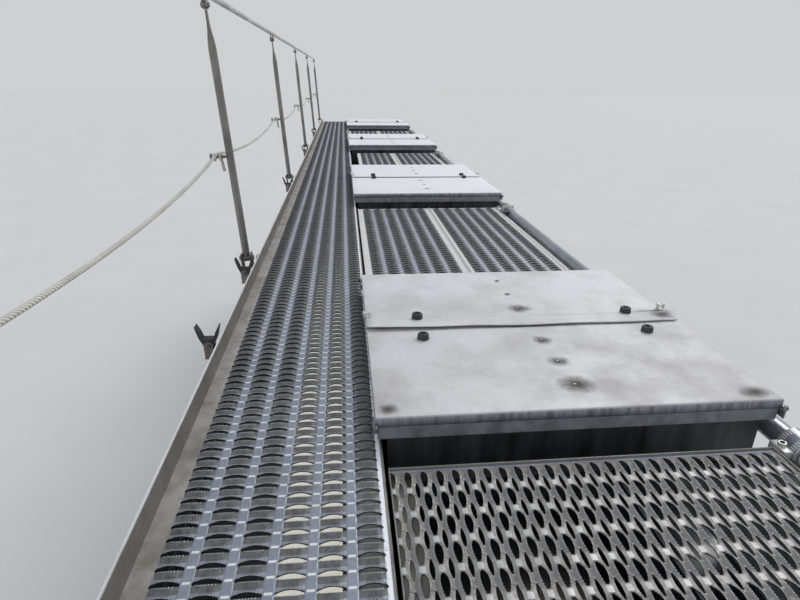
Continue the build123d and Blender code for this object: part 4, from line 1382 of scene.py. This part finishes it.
LENS = [(0.0, -0.0014), (0.030, -0.0010), (0.046, 0.0), (0.050, 0.002), (0.0, 0.002)]
LENS_Y = (0.82, 0.945, 1.07)          # the outermost one is amber
LENS_X, LENS_Z = -6.0985, DECK - 3.400 + 0.935
MARKER_X = (-0.40, 0.45)


class TANKER_OT_lamps(bpy.types.Operator):
    """Round lenses in the rear lamps, side markers and reflectors"""

    bl_idname = "tanker.lamps"
    bl_label = "Lamps"

    def execute(self, context):
        red, amber = bmesh.new(), bmesh.new()
        for side in (-1, 1):
            for y in LENS_Y:
                lathe(amber if y == LENS_Y[-1] else red, LENS, (LENS_X, side * y, LENS_Z), (1, 0, 0),
                      32, False)
        for x in MARKER_X:
            for side in (-1, 1):
                block(amber, (x, x + 0.10), (side * 1.2445, side * 1.2500), (0.875, 0.915), 0.0015)
        for bm, name, finish in ((red, "rear_lenses", "lamp"), (amber, "amber_lenses", "amber")):
            tidy(bm)
            make_piece(bm, name, "trailer", (finish,))
        return {"FINISHED"}


class TANKER_OT_finishes(bpy.types.Operator):
    """Procedural finishes for the solids that keep their own shape"""

    bl_idname = "tanker.finishes"
    bl_label = "Finishes"

    def execute(self, context):
        for node, finish in FINISHES:
            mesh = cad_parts[node].data
            mesh.materials.clear()
            mesh.materials.append(MATERIALS[finish])
        return {"FINISHED"}


SUNS = (("sun_key", 1.15, 30.0, (28, 38, 0)), ("sun_fill", 0.25, 60.0, (-35, -30, 0)))
EYE, EYE_TURN = (-5.500, 0.327, DECK + 0.800), (-5.86, -22.28, -0.714)    # yaw, pitch, roll
SENSOR, FOCAL_SHARE = 36.0, 544.5 / 800.0


def make_floor():
    bm = bmesh.new()
    bmesh.ops.create_grid(bm, x_segments=1, y_segments=1, size=150.0)
    mesh = to_mesh(bm, "floor")
    ground, tree, shader, place = new_material("pale_floor", 0.0, 0.9)
    tone = ramp(tree, noise_node(tree, place, 0.6, 4.0), 0.3, 0.7)
    paint(tree, shader, mix(tree, tone, (0.695, 0.675, 0.635), (0.725, 0.705, 0.665)))
    mesh.materials.append(ground)
    floor = show("floor", mesh)
    floor.location = (0, 0, -0.0005)


def make_sky():
    """Plain backdrop for the camera, and a bright sky for what the metal mirrors."""
    world = bpy.data.worlds.new("Sky")
    world.use_nodes = True
    tree = world.node_tree
    back = tree.nodes["Background"]
    path = add_node(tree, "ShaderNodeLightPath")
    seen = maths(tree, "MAXIMUM", path.outputs["Is Camera Ray"], path.outputs["Is Transmission Ray"])
    height = along_axis(tree, add_node(tree, "ShaderNodeTexCoord").outputs["Generated"], "Z")
    sky = mix(tree, ramp(tree, height, 0.0, 0.55), (1.28, 1.27, 1.25), (0.66, 0.73, 0.86))
    tree.links.new(mix(tree, seen, sky, (0.86, 0.87, 0.88)), back.inputs["Color"])
    back.inputs["Strength"].default_value = 0.72
    return world


def make_camera():
    """Camera at the rear end of the walkway, looking forward and down."""
    yaw, pitch, roll = (math.radians(a) for a in EYE_TURN)
    ahead = Vector((math.cos(yaw) * math.cos(pitch), math.sin(yaw) * math.cos(pitch), math.sin(pitch)))
    left = Vector((-math.sin(yaw), math.cos(yaw), 0))
    up = ahead.cross(left)
    side = left * math.cos(roll) + up * math.sin(roll)
    top = up * math.cos(roll) - left * math.sin(roll)
    turn = Matrix((-side, top, -ahead)).transposed()
    data = bpy.data.cameras.new("camera")
    data.sensor_width = SENSOR
    data.lens = SENSOR * FOCAL_SHARE
    data.clip_end = 400.0
    data.clip_start = 0.02
    camera = show("camera", data)
    camera.matrix_world = Matrix.Translation(EYE) @ turn.to_4x4()
    return camera


class TANKER_OT_stage(bpy.types.Operator):
    """Pale floor, soft light and the camera at the rear end of the walkway"""

    bl_idname = "tanker.stage"
    bl_label = "Stage"

    def execute(self, context):
        make_floor()
        context.scene.world = make_sky()
        for name, energy, angle, turn in SUNS:
            light = bpy.data.lights.new(name, "SUN")
            light.energy = energy
            light.angle = math.radians(angle)
            show(name, light).rotation_euler = [math.radians(a) for a in turn]
        context.scene.camera = make_camera()
        context.scene.view_settings.view_transform = "Standard"
        return {"FINISHED"}


class TANKER_PT_panel(bpy.types.Panel):
    """Buttons for each group of pieces"""

    bl_idname = "TANKER_PT_panel"
    bl_label = "Tanker"
    bl_space_type = "VIEW_3D"
    bl_region_type = "UI"
    bl_category = "Tanker"

    def draw(self, context):
        for step in STEPS:
            self.layout.operator(step.bl_idname)
        for group in (context.scene.tanker_sizes, context.scene.tanker_colours):
            for name in group.bl_rna.properties.keys():
                if name not in ("rna_type", "name"):
                    self.layout.prop(group, name)


STEPS = (
    TANKER_OT_walkway, TANKER_OT_flanges, TANKER_OT_gratings, TANKER_OT_lids, TANKER_OT_hinge_bolts,
    TANKER_OT_rope, TANKER_OT_posts, TANKER_OT_forks, TANKER_OT_couplings, TANKER_OT_wheels,
    TANKER_OT_lamps, TANKER_OT_finishes, TANKER_OT_stage,
)
CLASSES = (TankerSizes, TankerColours) + STEPS + (TANKER_PT_panel,)


def register():
    for cls in CLASSES:
        bpy.utils.register_class(cls)
    bpy.types.Scene.tanker_sizes = PointerProperty(type=TankerSizes)
    bpy.types.Scene.tanker_colours = PointerProperty(type=TankerColours)


def unregister():
    del bpy.types.Scene.tanker_sizes
    del bpy.types.Scene.tanker_colours
    for cls in reversed(CLASSES):
        bpy.utils.unregister_class(cls)


def main():
    register()
    MATERIALS.update(make_materials())
    for step in STEPS:
        group, action = step.bl_idname.split(".")
        getattr(getattr(bpy.ops, group), action)()


if __name__ == "__main__":
    main()
